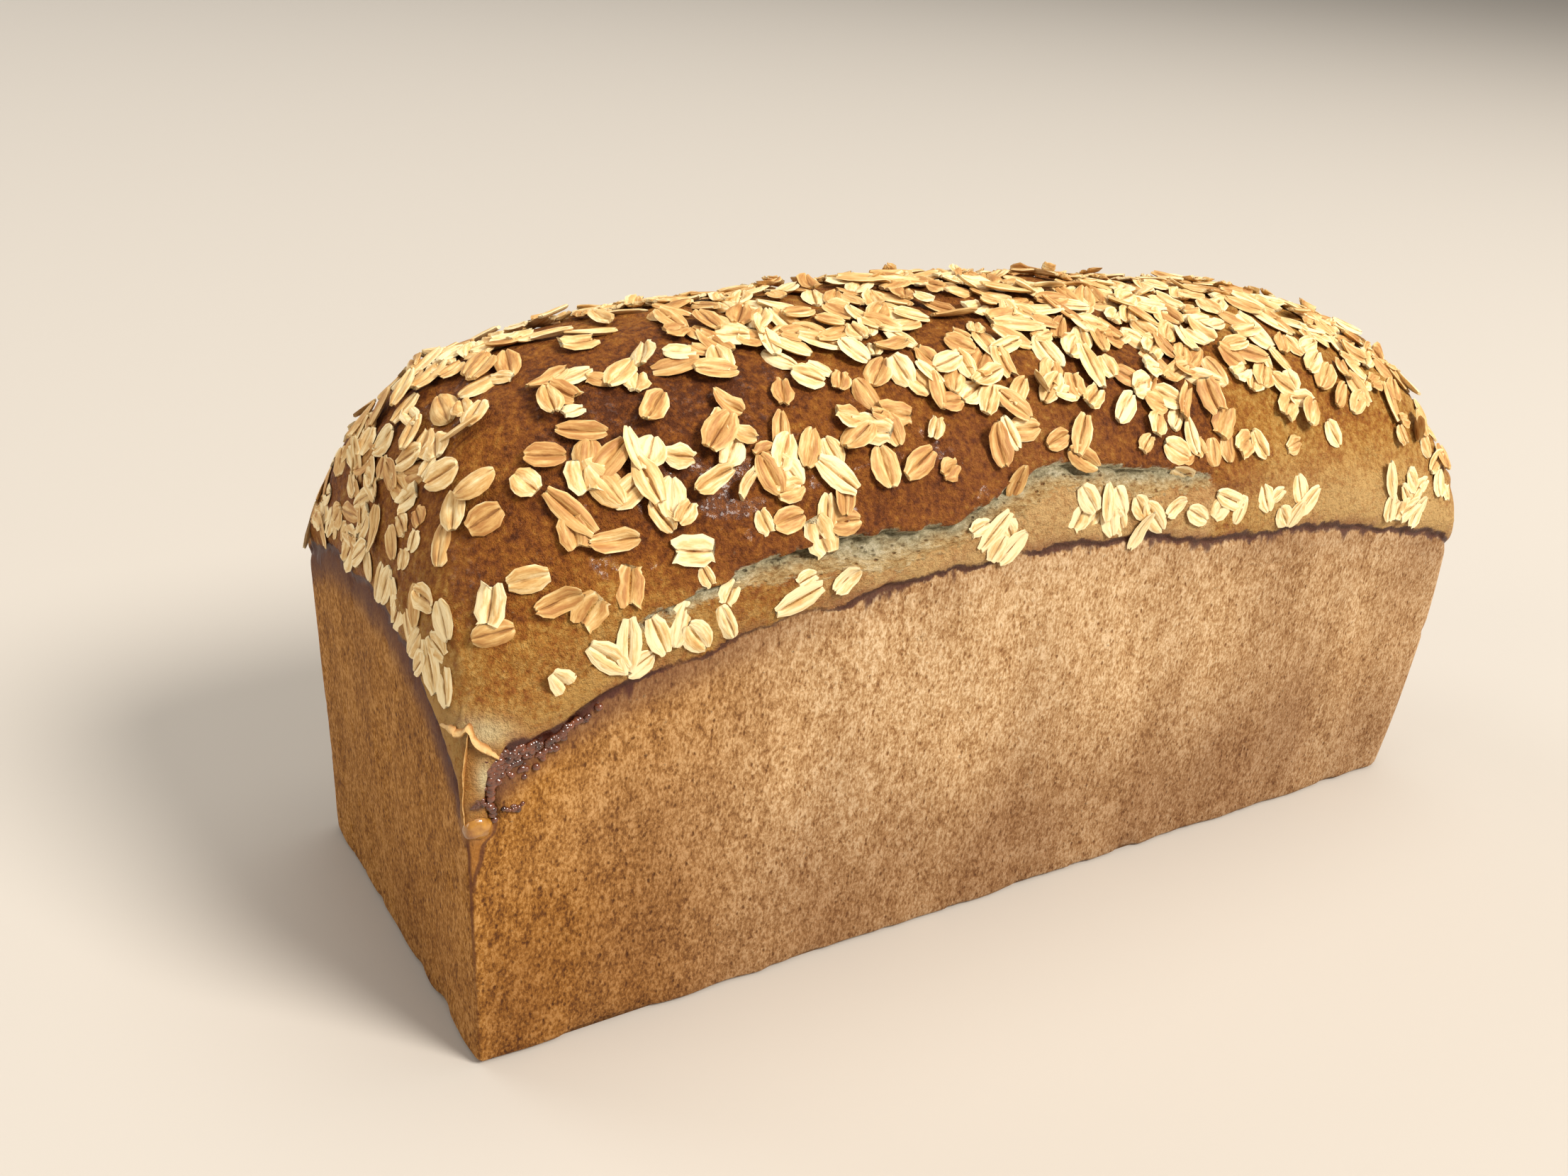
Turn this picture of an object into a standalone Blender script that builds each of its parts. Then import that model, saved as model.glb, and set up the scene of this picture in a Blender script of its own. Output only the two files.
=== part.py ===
"""A whole tin loaf: bread baked in a long, straight-sided tin, with a high domed crown.

Run it with blender --background --python part.py, or from Blender's text editor.
Metres, +Z up. The loaf stands on its flat base at z = 0, with its length along X and the origin under
its middle. The front, where the crust split as the dough rose, faces -Y.

The loaf is one solid. It starts as a box of quads. The box's walls become the crust that the tin shaped,
its floor becomes the base, and its lid becomes the crown that rose above the tin's rim.
"""

import math

import bmesh
import bpy
import numpy as np
from mathutils import Vector, noise

# The crust that the tin shaped
BASE_LENGTH = 0.291
BASE_WIDTH = 0.099
END_LEAN = 0.041  # how far each wall leans out, for each metre of height
SIDE_LEAN = 0.012
FAR_END_BULGE = 0.003  # how far the wall at +X bows out at half its height
CORNER_RADII = {(-1, -1): 0.0015, (-1, 1): 0.004, (1, -1): 0.009, (1, 1): 0.009}  # by side: (X, Y)
FOOT_RADIUS = 0.0015
WALL_RIPPLE = 0.0004

# The line where the dough met the tin's rim, along a long side: places along X and their heights
RIM_X = (-0.145, -0.090, -0.050, -0.005, 0.016, 0.045, 0.070, 0.100, 0.145)
RIM_Z = (0.0855, 0.0920, 0.0953, 0.0972, 0.0958, 0.0900, 0.0896, 0.0860, 0.0800)
END_RISE = 0.0063  # how much the line rises along an end, from its corners to its middle
CORNER_DROPS = {(-1, -1): 0.021, (-1, 1): 0.010, (1, -1): 0.008, (1, 1): 0.009}
CORNER_REACH = 0.020
GROOVE_DEPTH = 0.0006
GROOVE_HEIGHT = 0.004
LIP_SWELL = 0.0010  # how far the crust bulges out over the rim
LIP_HEIGHT = 0.009  # how far above the rim it bulges most

# The crown
CROWN_TOP = 0.144
CROWN_PEAK_X = -0.030
CROWN_FALL = 0.58  # the ridge falls by this times the distance from its peak, squared
END_SQUARENESS = 9.0  # a high power keeps the ridge nearly level and turns it down close to the ends
CROWN_LUMP = 0.0010
CROWN_LUMP_SIZE = 0.045
EDGE_POWER = 9  # how abruptly the way out turns from one wall's to the next, at an upright edge

# The split along the front: places along X, the heights of its middle above the rim line, and its widths
SPLIT_X = (-0.132, -0.112, -0.090, -0.068, -0.054, -0.040, -0.028, -0.015, 0.015, 0.045)
SPLIT_RISE = (0.0042, 0.0104, 0.0124, 0.0118, 0.0104, 0.0098, 0.0120, 0.0155, 0.0143, 0.0152)
SPLIT_WIDTH = (0.0014, 0.0016, 0.0022, 0.0048, 0.0056, 0.0038, 0.0042, 0.0040, 0.0042, 0.0018)
SPLIT_DEPTH = 0.0035  # how far in it goes, where it is widest

# How finely the box of quads is cut
COLUMNS = 72  # along X
ROWS_BELOW_SPLIT, ROWS_IN_SPLIT, ROWS_TO_RIDGE, ROWS_BEHIND = 3, 3, 9, 13  # across the crown, from the front
FOOT_COURSES, WALL_COURSES = 2, 7  # up the walls
LEAST_FALL = 0.25  # the rows along the split stop turning down here, short of the ends
HIGHEST_SPLIT = 0.9  # as a share of the crown's rise
SHARP_EDGE = math.radians(50)  # edges that turn by more than this are shaded as edges

CRUST_COLOUR = (0.42, 0.20, 0.075, 1.0)
CRUST_ROUGHNESS = 0.6

HALF_LENGTH = BASE_LENGTH / 2
HALF_WIDTH = BASE_WIDTH / 2
ROWS = ROWS_BELOW_SPLIT + ROWS_IN_SPLIT + ROWS_TO_RIDGE + ROWS_BEHIND
COURSES = FOOT_COURSES + WALL_COURSES + 1


def clear_scene():
    for thing in list(bpy.data.objects):
        bpy.data.objects.remove(thing, do_unlink=True)


def smooth_through(x, places, heights):
    """A smooth line through the named points, read at x."""
    places, heights = np.array(places), np.array(heights)
    slopes = np.gradient(heights, places)
    left = np.clip(np.searchsorted(places, x) - 1, 0, len(places) - 2)
    span = places[left + 1] - places[left]
    t = np.clip((x - places[left]) / span, 0, 1)
    from_left = heights[left] + span * slopes[left] * t * (1 - t)
    from_right = heights[left + 1] - span * slopes[left + 1] * t * (1 - t)
    ease = t * t * (3 - 2 * t)
    return from_left * (1 - ease) + from_right * ease


def rim_height(along, across):
    """Height of the rim line. along and across are places on the plan, from -1 to 1."""
    height = smooth_through(along * HALF_LENGTH, RIM_X, RIM_Z) + END_RISE * (1 - across**2)
    for (end, side), drop in CORNER_DROPS.items():
        distance = np.hypot((along - end) * HALF_LENGTH, (across - side) * HALF_WIDTH)
        height = height - drop * np.exp(-distance / CORNER_REACH)
    return height


def ridge_height(along):
    return CROWN_TOP - CROWN_FALL * (along * HALF_LENGTH - CROWN_PEAK_X) ** 2


def end_fall(along):
    """1 over most of the length, and down to 0 at the two ends: the crown's profile seen from the front."""
    return np.sqrt(np.clip(1 - np.abs(along) ** END_SQUARENESS, 0, 1))


def stations():
    """Places along the loaf, spaced evenly on the crown's profile, so that its steep ends get enough."""
    along = np.sin(np.linspace(-1, 1, 2001) * math.pi / 2)
    rise = (CROWN_TOP - max(RIM_Z)) * end_fall(along)
    travelled = np.concatenate([[0], np.cumsum(np.hypot(np.diff(along) * HALF_LENGTH, np.diff(rise)))])
    return np.interp(np.linspace(0, travelled[-1], COLUMNS + 1), travelled, along)


def split_rise(along):
    """Height of the split's middle above the rim line."""
    return smooth_through(along * HALF_LENGTH, SPLIT_X, SPLIT_RISE)


def split_width(along):
    return np.interp(along * HALF_LENGTH, SPLIT_X, SPLIT_WIDTH)


def split_depth(along):
    """How far in the split goes: deepest where it is widest, and nothing beyond its two ends."""
    x = along * HALF_LENGTH
    inside = (x > SPLIT_X[0]) & (x < SPLIT_X[-1])
    return np.where(inside, SPLIT_DEPTH * split_width(along) / max(SPLIT_WIDTH), 0)


def angle_of_rise(along, rise):
    """Angle round the front of the crown, from -90 degrees at the rim to 0 at the ridge, at that rise."""
    full_rise = (ridge_height(along) - rim_height(along, -1.0)) * np.maximum(end_fall(along), LEAST_FALL)
    return np.arcsin(np.clip(rise / full_rise, 0, HIGHEST_SPLIT)) - math.pi / 2


def row_angles(along):
    """Angle of every row across the crown, a line for each station. Two rows run along the split's edges."""
    low = angle_of_rise(along, split_rise(along) - split_width(along) / 2)
    high = angle_of_rise(along, split_rise(along) + split_width(along) / 2)
    rims = np.full_like(along, math.pi / 2)
    edges = [-rims, low, high, np.zeros_like(along), rims]
    counts = (ROWS_BELOW_SPLIT, ROWS_IN_SPLIT, ROWS_TO_RIDGE, ROWS_BEHIND)
    rows = [edges[0]]
    for start, end, count in zip(edges, edges[1:], counts):
        rows += [start + (end - start) * step / count for step in range(1, count + 1)]
    return np.array(rows).T


def course_shares():
    """How far up each course lies: (height within the foot's round, share of the wall above it)."""
    foot = [(FOOT_RADIUS * (1 - math.cos(math.pi / 2 * k / FOOT_COURSES)), 0.0) for k in range(FOOT_COURSES)]
    wall = [(FOOT_RADIUS, k / WALL_COURSES) for k in range(WALL_COURSES + 1)]
    lid = [(FOOT_RADIUS, 1.0)]
    return np.array(foot + wall + lid)


def corner_radius(x, y):
    """Radius of the upright corner in the quarter of the plan that holds each point."""
    radius = np.zeros_like(x)
    for (end, side), size in CORNER_RADII.items():
        radius = np.where((x * end >= 0) & (y * side >= 0), size, radius)
    return radius


def round_corners(x, y, half_x, half_y):
    """Moves points of a rectangle into one with rounded corners, spreading the change over each corner."""
    radius = corner_radius(x, y)
    over_x = np.clip(np.abs(x) - (half_x - radius), 0, radius)
    over_y = np.clip(np.abs(y) - (half_y - radius), 0, radius)
    pull_x = over_x * (1 - np.sqrt(1 - over_y**2 / (2 * radius**2)))
    pull_y = over_y * (1 - np.sqrt(1 - over_x**2 / (2 * radius**2)))
    return x - np.sign(x) * pull_x, y - np.sign(y) * pull_y


def swell(rise):
    """How far the crust stands out at that rise above the rim line: a groove at the line, a lip over it."""
    groove = GROOVE_DEPTH * np.clip(1 - np.abs(rise) / GROOVE_HEIGHT, 0, 1)
    lip = LIP_SWELL * np.where(rise > 0, rise / LIP_HEIGHT * np.exp(1 - rise / LIP_HEIGHT), 0)
    return lip - groove


def smooth_noise(points, size):
    return np.array([noise.noise(Vector(point) / size) for point in points])


def foot_inset(z):
    """How far in the wall stands at height z, where it rounds off into the base."""
    below = FOOT_RADIUS - np.minimum(z, FOOT_RADIUS)
    return FOOT_RADIUS - np.sqrt(FOOT_RADIUS**2 - below**2)


def split_hollow(along, rise):
    """How far in the split takes the front of the crown, at that rise above the rim line."""
    within = (rise - split_rise(along)) / (split_width(along) / 2)
    return split_depth(along) * np.sqrt(np.clip(1 - within**2, 0, 1))


def way_out(along, across, upward):
    """Which way is outward: past the nearest wall, and on the crown also up."""
    way = np.stack([along**EDGE_POWER, across**EDGE_POWER, upward], axis=1)
    length = np.linalg.norm(way, axis=1, keepdims=True)
    return np.divide(way, length, out=np.zeros_like(way), where=length > 0)


def lay_out(cells):
    """Places on the loaf for the box's vertices, given as cell numbers along X, Y and Z."""
    column, row, course = cells.T
    along = stations()[column]
    angle = row_angles(stations())[column, row]
    across = np.sin(angle)
    rim = rim_height(along, across)
    upward = end_fall(along) * np.cos(angle)
    on_lid = course == COURSES
    on_floor = course == 0

    round_height, share = course_shares()[course].T
    wall_z = round_height + share * (rim - GROOVE_HEIGHT - FOOT_RADIUS)
    z = np.where(on_lid, rim + (ridge_height(along) - rim) * upward, wall_z)

    out = swell(z - rim) - foot_inset(z)
    bulge = FAR_END_BULGE * np.where(along > 0, np.sin(math.pi * np.clip(z / rim, 0, 1)), 0)
    half_x = HALF_LENGTH + END_LEAN * np.minimum(z, rim) + bulge + out
    half_y = HALF_WIDTH + SIDE_LEAN * np.minimum(z, rim) + out
    x, y = round_corners(along * half_x, across * half_y, half_x, half_y)
    y += np.where(on_lid & (across < 0), split_hollow(along, z - rim), 0)
    points = np.stack([x, y, z], axis=1)

    lump = np.where(on_lid, CROWN_LUMP, WALL_RIPPLE) * smooth_noise(points, CROWN_LUMP_SIZE)
    way = way_out(along, across, np.where(on_lid, upward, 0))
    return points + way * np.where(on_floor, 0, lump)[:, None]


def box_of_quads(cuts):
    """A cube cut into that many cells along X, Y and Z. Its corners are at -1 and 1."""
    box = bmesh.new()
    bmesh.ops.create_cube(box, size=2)
    for axis, count in enumerate(cuts):
        along = [edge for edge in box.edges if edge.verts[0].co[axis] != edge.verts[1].co[axis]]
        bmesh.ops.subdivide_edges(box, edges=along, cuts=count - 1, use_grid_fill=True)
    return box


def loaf_mesh():
    cuts = (COLUMNS, ROWS, COURSES)
    box = box_of_quads(cuts)
    corners = np.array([vertex.co for vertex in box.verts])
    cells = np.rint((corners + 1) / 2 * cuts).astype(int)
    points = lay_out(cells)
    middle = (points.min(axis=0) + points.max(axis=0)) / 2
    points[:, :2] -= middle[:2]
    for vertex, point in zip(box.verts, points):
        vertex.co = point
    floor = [face for face in box.faces if all(vertex.co.z == 0 for vertex in face.verts)]
    bmesh.ops.dissolve_faces(box, faces=floor, use_verts=False)
    bmesh.ops.recalc_face_normals(box, faces=box.faces)
    mesh = bpy.data.meshes.new("loaf")
    box.to_mesh(mesh)
    box.free()
    mesh.shade_smooth()
    mesh.set_sharp_from_angle(angle=SHARP_EDGE)
    return mesh


def crust_material():
    material = bpy.data.materials.new("crust")
    material.use_nodes = True
    shader = material.node_tree.nodes["Principled BSDF"]
    shader.inputs["Base Color"].default_value = CRUST_COLOUR
    shader.inputs["Roughness"].default_value = CRUST_ROUGHNESS
    shader.inputs["Metallic"].default_value = 0.0
    material.diffuse_color = CRUST_COLOUR
    return material


def main():
    clear_scene()
    parts = bpy.data.collections.new("tin_loaf")
    bpy.context.scene.collection.children.link(parts)
    loaf = bpy.data.objects.new("loaf", loaf_mesh())
    loaf.data.materials.append(crust_material())
    parts.objects.link(loaf)


main()
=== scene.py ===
# %% [markdown]
# # A tin loaf with rolled oats
#
# A tin loaf has two skins. Where the dough pressed against the tin, the crust is matt, pale and finely
# pitted. Where it rose clear of the rim, it was brushed with egg and baked dark and shiny, and it split
# along one side as the crumb inside kept growing. Rolled oats were thrown on before it went in.
#
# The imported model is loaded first. It gives the loaf's place and size, and nothing here moves it.

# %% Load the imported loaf
import math
import random

import bmesh
import bpy
import numpy as np
from mathutils import Matrix, Vector, noise


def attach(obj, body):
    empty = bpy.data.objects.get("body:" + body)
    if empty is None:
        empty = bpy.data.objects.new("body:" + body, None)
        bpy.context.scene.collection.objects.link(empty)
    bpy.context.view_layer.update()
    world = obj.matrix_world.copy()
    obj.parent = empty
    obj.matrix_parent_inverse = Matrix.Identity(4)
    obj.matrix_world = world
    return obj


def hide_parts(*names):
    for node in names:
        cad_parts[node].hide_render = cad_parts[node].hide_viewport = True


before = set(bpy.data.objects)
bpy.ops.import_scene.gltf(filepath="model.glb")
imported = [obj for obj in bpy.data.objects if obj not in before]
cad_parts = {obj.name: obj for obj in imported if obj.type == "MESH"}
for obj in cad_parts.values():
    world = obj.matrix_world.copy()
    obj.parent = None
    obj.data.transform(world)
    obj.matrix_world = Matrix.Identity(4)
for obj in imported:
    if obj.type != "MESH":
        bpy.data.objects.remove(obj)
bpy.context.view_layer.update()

# %% [markdown]
# ## The form, from the tin's sizes
#
# The shape could be sculpted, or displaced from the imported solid. It is worked out again instead, from the
# same sizes as the solid, because a fine mesh can then have its rows exactly where the details are: along
# the tin's rim, and along both edges of the split.
#
# Lengths are metres. A place on the plan is given as `along` and `across`, each from -1 to 1.

# %% The sizes of the tin and the crown
BASE_LENGTH, BASE_WIDTH = 0.291, 0.099
END_LEAN, SIDE_LEAN = 0.041, 0.012
FAR_END_BULGE = 0.003
CORNER_RADII = {(-1, -1): 0.0015, (-1, 1): 0.004, (1, -1): 0.009, (1, 1): 0.009}
FOOT_RADIUS = 0.0015
RIM_X = (-0.145, -0.090, -0.050, -0.005, 0.016, 0.045, 0.070, 0.100, 0.145)
RIM_Z = (0.0855, 0.0920, 0.0953, 0.0972, 0.0958, 0.0900, 0.0896, 0.0860, 0.0800)
END_RISE = 0.0063
CORNER_DROPS = {(-1, -1): 0.021, (-1, 1): 0.010, (1, -1): 0.008, (1, 1): 0.009}
CORNER_REACH = 0.020
LIP_SWELL, LIP_HEIGHT = 0.0010, 0.009
CROWN_TOP, CROWN_PEAK_X, CROWN_FALL = 0.144, -0.030, 0.58
END_SQUARENESS = 9.0
CROWN_LUMP, CROWN_LUMP_SIZE = 0.0010, 0.045
SPLIT_X = (-0.132, -0.112, -0.090, -0.068, -0.054, -0.040, -0.028, -0.015, 0.015, 0.045)
SPLIT_RISE = (0.0042, 0.0104, 0.0124, 0.0118, 0.0104, 0.0098, 0.0120, 0.0155, 0.0143, 0.0152)
SPLIT_WIDTH = (0.0014, 0.0016, 0.0022, 0.0048, 0.0056, 0.0038, 0.0042, 0.0040, 0.0042, 0.0018)
HALF_LENGTH, HALF_WIDTH = BASE_LENGTH / 2, BASE_WIDTH / 2
MM = 0.001
print("the tin's base is", BASE_LENGTH / MM, "by", BASE_WIDTH / MM, "mm")


# %% [markdown]
# The rim line, the ridge and the split are each a smooth line through a few named points. A crooked hand
# line would do for one view, but the same line has to steer the mesh, the scattering and the colours.

# %% Lines that the loaf follows
def smooth_through(x, places, heights):
    """A smooth line through the named points, read at x."""
    places, heights = np.array(places), np.array(heights)
    slopes = np.gradient(heights, places)
    left = np.clip(np.searchsorted(places, x) - 1, 0, len(places) - 2)
    span = places[left + 1] - places[left]
    t = np.clip((x - places[left]) / span, 0, 1)
    from_left = heights[left] + span * slopes[left] * t * (1 - t)
    from_right = heights[left + 1] - span * slopes[left + 1] * t * (1 - t)
    ease = t * t * (3 - 2 * t)
    return from_left * (1 - ease) + from_right * ease


def corner_distance(along, across, end, side):
    return np.hypot((along - end) * HALF_LENGTH, (across - side) * HALF_WIDTH)


def rim_height(along, across):
    height = smooth_through(along * HALF_LENGTH, RIM_X, RIM_Z) + END_RISE * (1 - across**2)
    for (end, side), drop in CORNER_DROPS.items():
        height = height - drop * np.exp(-corner_distance(along, across, end, side) / CORNER_REACH)
    return height


def ridge_height(along):
    return CROWN_TOP - CROWN_FALL * (along * HALF_LENGTH - CROWN_PEAK_X) ** 2


def end_fall(along):
    return np.sqrt(np.clip(1 - np.abs(along) ** END_SQUARENESS, 0, 1))


def split_rise(along):
    return smooth_through(along * HALF_LENGTH, SPLIT_X, SPLIT_RISE)


def split_width(along):
    return np.interp(along * HALF_LENGTH, SPLIT_X, SPLIT_WIDTH)


print("the rim is", round(float(rim_height(0.0, -1.0)) / MM, 1), "mm up at the middle of the front")

# %% [markdown]
# ## A fine skin
#
# The skin is a block of cells bent into the loaf. Its walls, front and back and ends, are grids that share
# their edge vertices, so the skin is closed. The rows are close together at the rim and in the split, where
# the crust changes within a millimetre, and further apart over the top and down the walls.

# %% How finely the skin is cut
COLUMNS = 300
ROW_COUNTS = (13, 10, 58, 76)  # up to the split, across it, on to the ridge, and down the back
ROWS = sum(ROW_COUNTS)
FOOT_COURSES, WALL_COURSES, RIM_COURSES = 3, 28, 15
RIM_BAND = 0.014  # the height of wall that the close courses cover
COURSES = FOOT_COURSES + WALL_COURSES + RIM_COURSES
print("the skin has", COLUMNS, "columns,", ROWS, "rows and", COURSES, "courses")

# %% [markdown]
# Columns are spaced evenly along the crown's profile, so that they crowd where the ends round off. Rows
# follow the split, and courses follow the rim.

# %% Columns, rows and courses
def stations():
    """Places along the loaf, spaced evenly on the crown's profile."""
    along = np.sin(np.linspace(-1, 1, 4001) * math.pi / 2)
    rise = (CROWN_TOP - max(RIM_Z)) * end_fall(along)
    travelled = np.concatenate([[0], np.cumsum(np.hypot(np.diff(along) * HALF_LENGTH, np.diff(rise)))])
    return np.interp(np.linspace(0, travelled[-1], COLUMNS + 1), travelled, along)


def angle_of_rise(along, rise, highest):
    """Angle round the front of the crown at that rise, up to a highest share of the whole rise."""
    full_rise = (ridge_height(along) - rim_height(along, -1.0)) * np.maximum(end_fall(along), 0.25)
    return np.arcsin(np.clip(rise / full_rise, 0, highest)) - math.pi / 2


def row_angles(along):
    """Angle of every row across the crown, with rows along both edges of the split."""
    low = angle_of_rise(along, split_rise(along) - split_width(along) / 2, 0.62)
    high = angle_of_rise(along, split_rise(along) + split_width(along) / 2, 0.72)
    rims = np.full_like(along, math.pi / 2)
    edges = [-rims, low, high, np.zeros_like(along), rims]
    rows = [edges[0]]
    for start, end, count in zip(edges, edges[1:], ROW_COUNTS):
        rows += [start + (end - start) * step / count for step in range(1, count + 1)]
    return np.array(rows).T


def wall_heights(course, rim):
    """Height of each course of the walls: round the foot, up the plain wall, then closely up to the rim."""
    foot = FOOT_RADIUS * (1 - np.cos(math.pi / 2 * np.clip(course / FOOT_COURSES, 0, 1)))
    plain = np.clip((course - FOOT_COURSES) / WALL_COURSES, 0, 1) * (rim - RIM_BAND - FOOT_RADIUS)
    close = np.clip((course - FOOT_COURSES - WALL_COURSES) / RIM_COURSES, 0, 1) * RIM_BAND
    return foot + plain + close


print("the first course of wall is", round(float(wall_heights(FOOT_COURSES, 0.09)) / MM, 1), "mm up")


# %% [markdown]
# The block has a lid and four walls, each a grid of numbered corners. Two grids that meet give a corner the
# same three numbers, so joining the corners by number closes the skin. The floor is one flat face.

# %% Cells into a closed skin
def face_grid(first, second, axes, fixed):
    """The cell corners on one side of the block: numbers along two axes, with the third held."""
    grid = np.full((first + 1, second + 1, 3), fixed)
    grid[..., axes[0]], grid[..., axes[1]] = np.meshgrid(range(first + 1), range(second + 1), indexing="ij")
    return grid


def block_skin():
    """Every cell corner on the block's lid and walls, the quads between them, and the floor's outline."""
    grids = [
        face_grid(COLUMNS, ROWS, (0, 1), COURSES),
        face_grid(COLUMNS, COURSES, (0, 2), 0),
        face_grid(COLUMNS, COURSES, (0, 2), ROWS),
        face_grid(ROWS, COURSES, (1, 2), 0),
        face_grid(ROWS, COURSES, (1, 2), COLUMNS),
    ]
    every_corner = np.concatenate([grid.reshape(-1, 3) for grid in grids])
    corners, number = np.unique(every_corner, axis=0, return_inverse=True)
    number, start, quads = number.ravel(), 0, []
    for grid in grids:
        ids = number[start:start + grid.shape[0] * grid.shape[1]].reshape(grid.shape[:2])
        start += ids.size
        around = [ids[:-1, :-1], ids[1:, :-1], ids[1:, 1:], ids[:-1, 1:]]
        quads.append(np.stack(around, axis=-1).reshape(-1, 4))
    at = {tuple(corner): index for index, corner in enumerate(corners.tolist()) if corner[2] == 0}
    outline = [at[(c, 0, 0)] for c in range(COLUMNS)] + [at[(COLUMNS, r, 0)] for r in range(ROWS)]
    outline += [at[(c, ROWS, 0)] for c in range(COLUMNS, 0, -1)] + [at[(0, r, 0)] for r in range(ROWS, 0, -1)]
    return corners, np.concatenate(quads), outline


cells, skin_quads, floor_outline = block_skin()
print(len(cells), "vertices and", len(skin_quads), "quads")


# %% [markdown]
# ## Laying the skin on the loaf
#
# Each cell corner gets its place from the same rules as the solid. The corners' numbers are then kept as
# measures that the later steps use: how far above the rim a point is, how far round the crown, and where it
# lies across the split.

# %% Places on the loaf
def round_corners(x, y, half_x, half_y):
    radius = np.zeros_like(x)
    for (end, side), size in CORNER_RADII.items():
        radius = np.where((x * end >= 0) & (y * side >= 0), size, radius)
    over_x = np.clip(np.abs(x) - (half_x - radius), 0, radius)
    over_y = np.clip(np.abs(y) - (half_y - radius), 0, radius)
    pull_x = over_x * (1 - np.sqrt(1 - over_y**2 / (2 * radius**2)))
    pull_y = over_y * (1 - np.sqrt(1 - over_x**2 / (2 * radius**2)))
    return x - np.sign(x) * pull_x, y - np.sign(y) * pull_y


def foot_inset(z):
    below = FOOT_RADIUS - np.minimum(z, FOOT_RADIUS)
    return FOOT_RADIUS - np.sqrt(FOOT_RADIUS**2 - below**2)


class Loaf:
    """The measures of every vertex of the skin."""


def measure_loaf(cells):
    loaf = Loaf()
    column, row, course = cells.T
    loaf.on_crown = course == COURSES
    loaf.on_floor = course == 0
    loaf.along = stations()[column]
    loaf.angle = row_angles(stations())[column, row]
    loaf.across = np.sin(loaf.angle)
    loaf.rim = rim_height(loaf.along, loaf.across)
    loaf.upward = np.where(loaf.on_crown, end_fall(loaf.along) * np.cos(loaf.angle), 0)
    crown_z = loaf.rim + (ridge_height(loaf.along) - loaf.rim) * loaf.upward
    z = np.where(loaf.on_crown, crown_z, wall_heights(course, loaf.rim))
    loaf.rise = z - loaf.rim
    over_rim = np.maximum(loaf.rise, 0) / LIP_HEIGHT
    out = LIP_SWELL * over_rim * np.exp(1 - over_rim) - foot_inset(z)
    bulge = FAR_END_BULGE * np.where(loaf.along > 0, np.sin(math.pi * np.clip(z / loaf.rim, 0, 1)), 0)
    half_x = HALF_LENGTH + END_LEAN * np.minimum(z, loaf.rim) + bulge + out
    half_y = HALF_WIDTH + SIDE_LEAN * np.minimum(z, loaf.rim) + out
    x, y = round_corners(loaf.along * half_x, loaf.across * half_y, half_x, half_y)
    loaf.points = np.stack([x, y, z], axis=1)
    return loaf


loaf = measure_loaf(cells)
shift = (loaf.points.min(axis=0) + loaf.points.max(axis=0))[:2] / 2
print("the plan's middle is off by", (shift / MM).round(2), "mm")


# %% [markdown]
# ## Relief
#
# Bread has relief at every size: slow lumps where the dough was fuller, blisters, and the torn crumb in the
# split. Anything wider than about a millimetre is moved in the mesh itself, so that it holds from every side
# and in the exported shape. Finer grain is left to the finish.

# %% Noise read at many points
def unevenness(points, size, stretch=(1, 1, 1), seed=0):
    """Smooth noise about 0, with lumps of that size. A stretch over 1 draws the lumps out along that axis."""
    scaled = points / (np.array(stretch) * size) + np.array([17.3, 5.1, 9.7]) * seed
    return np.array([noise.noise(point) for point in scaled.tolist()])


def fade(value, start, end):
    """0 before start, 1 after end, and smooth between."""
    t = np.clip((value - start) / (end - start), 0, 1)
    return t * t * (3 - 2 * t)


def hump(value, middle, width):
    """1 at the middle, falling off to about a third at that width from it."""
    return np.exp(-(((value - middle) / width) ** 2))


near_corner = corner_distance(loaf.along, loaf.across, -1, -1)
front = loaf.across < 0
x, y, z = loaf.points.T
rise_mm = loaf.rise / MM


def uneven(size, seed=0, stretch=(1, 1, 1)):
    """The noise read at every vertex of the skin."""
    return unevenness(loaf.points, size, stretch, seed)


print("noise at the first vertex:", round(float(uneven(0.01)[0]), 3))

# %% [markdown]
# The split opens like a torn seam. At its upper edge the hard crust overhangs, so the step there is steep.
# Below it the crumb comes back out gradually to the band of paler crust over the rim. Its edges wander by
# half a millimetre, as torn dough does.

# %% The split
SPLIT_DEPTH = 0.0042
LIP_STEP = 0.16  # share of the split's width that the overhanging step takes
wander = unevenness(loaf.points * (1, 0, 0), 0.007, seed=3) * 0.0010 + uneven(0.0025, seed=4) * 0.0004
half_width = split_width(loaf.along) / 2
loaf.within = (loaf.rise + wander - split_rise(loaf.along)) / half_width
below_lip = np.clip((1 - loaf.within) / 2, 0, 1)
opening = np.where((x > SPLIT_X[0]) & (x < SPLIT_X[-1]), split_width(loaf.along) / max(SPLIT_WIDTH), 0)
opening *= fade(x, -0.133, -0.120) * fade(-x, -0.047, -0.038) * (front & loaf.on_crown)
split_depth = SPLIT_DEPTH * opening * fade(below_lip, 0, LIP_STEP) * np.clip(1 - below_lip, 0, 1) ** 1.3
overhang = hump((loaf.within - 1.15) * half_width, 0, 0.0012) * opening
torn_lower = uneven(0.006, seed=18) * 0.9 + uneven(0.0022, seed=19) * 0.5
loaf.crumb = fade(-loaf.within, -1.02, -0.86) * fade(loaf.within + torn_lower, -2.60, -0.90)
loaf.crumb *= fade(opening, 0.15, 0.45)
under_split = front * loaf.on_crown * fade(-loaf.within, 0.6, 1.6) * fade(opening, 0.02, 0.3)
print("the split is", round(float(split_depth.max()) / MM, 2), "mm deep at most")

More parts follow.
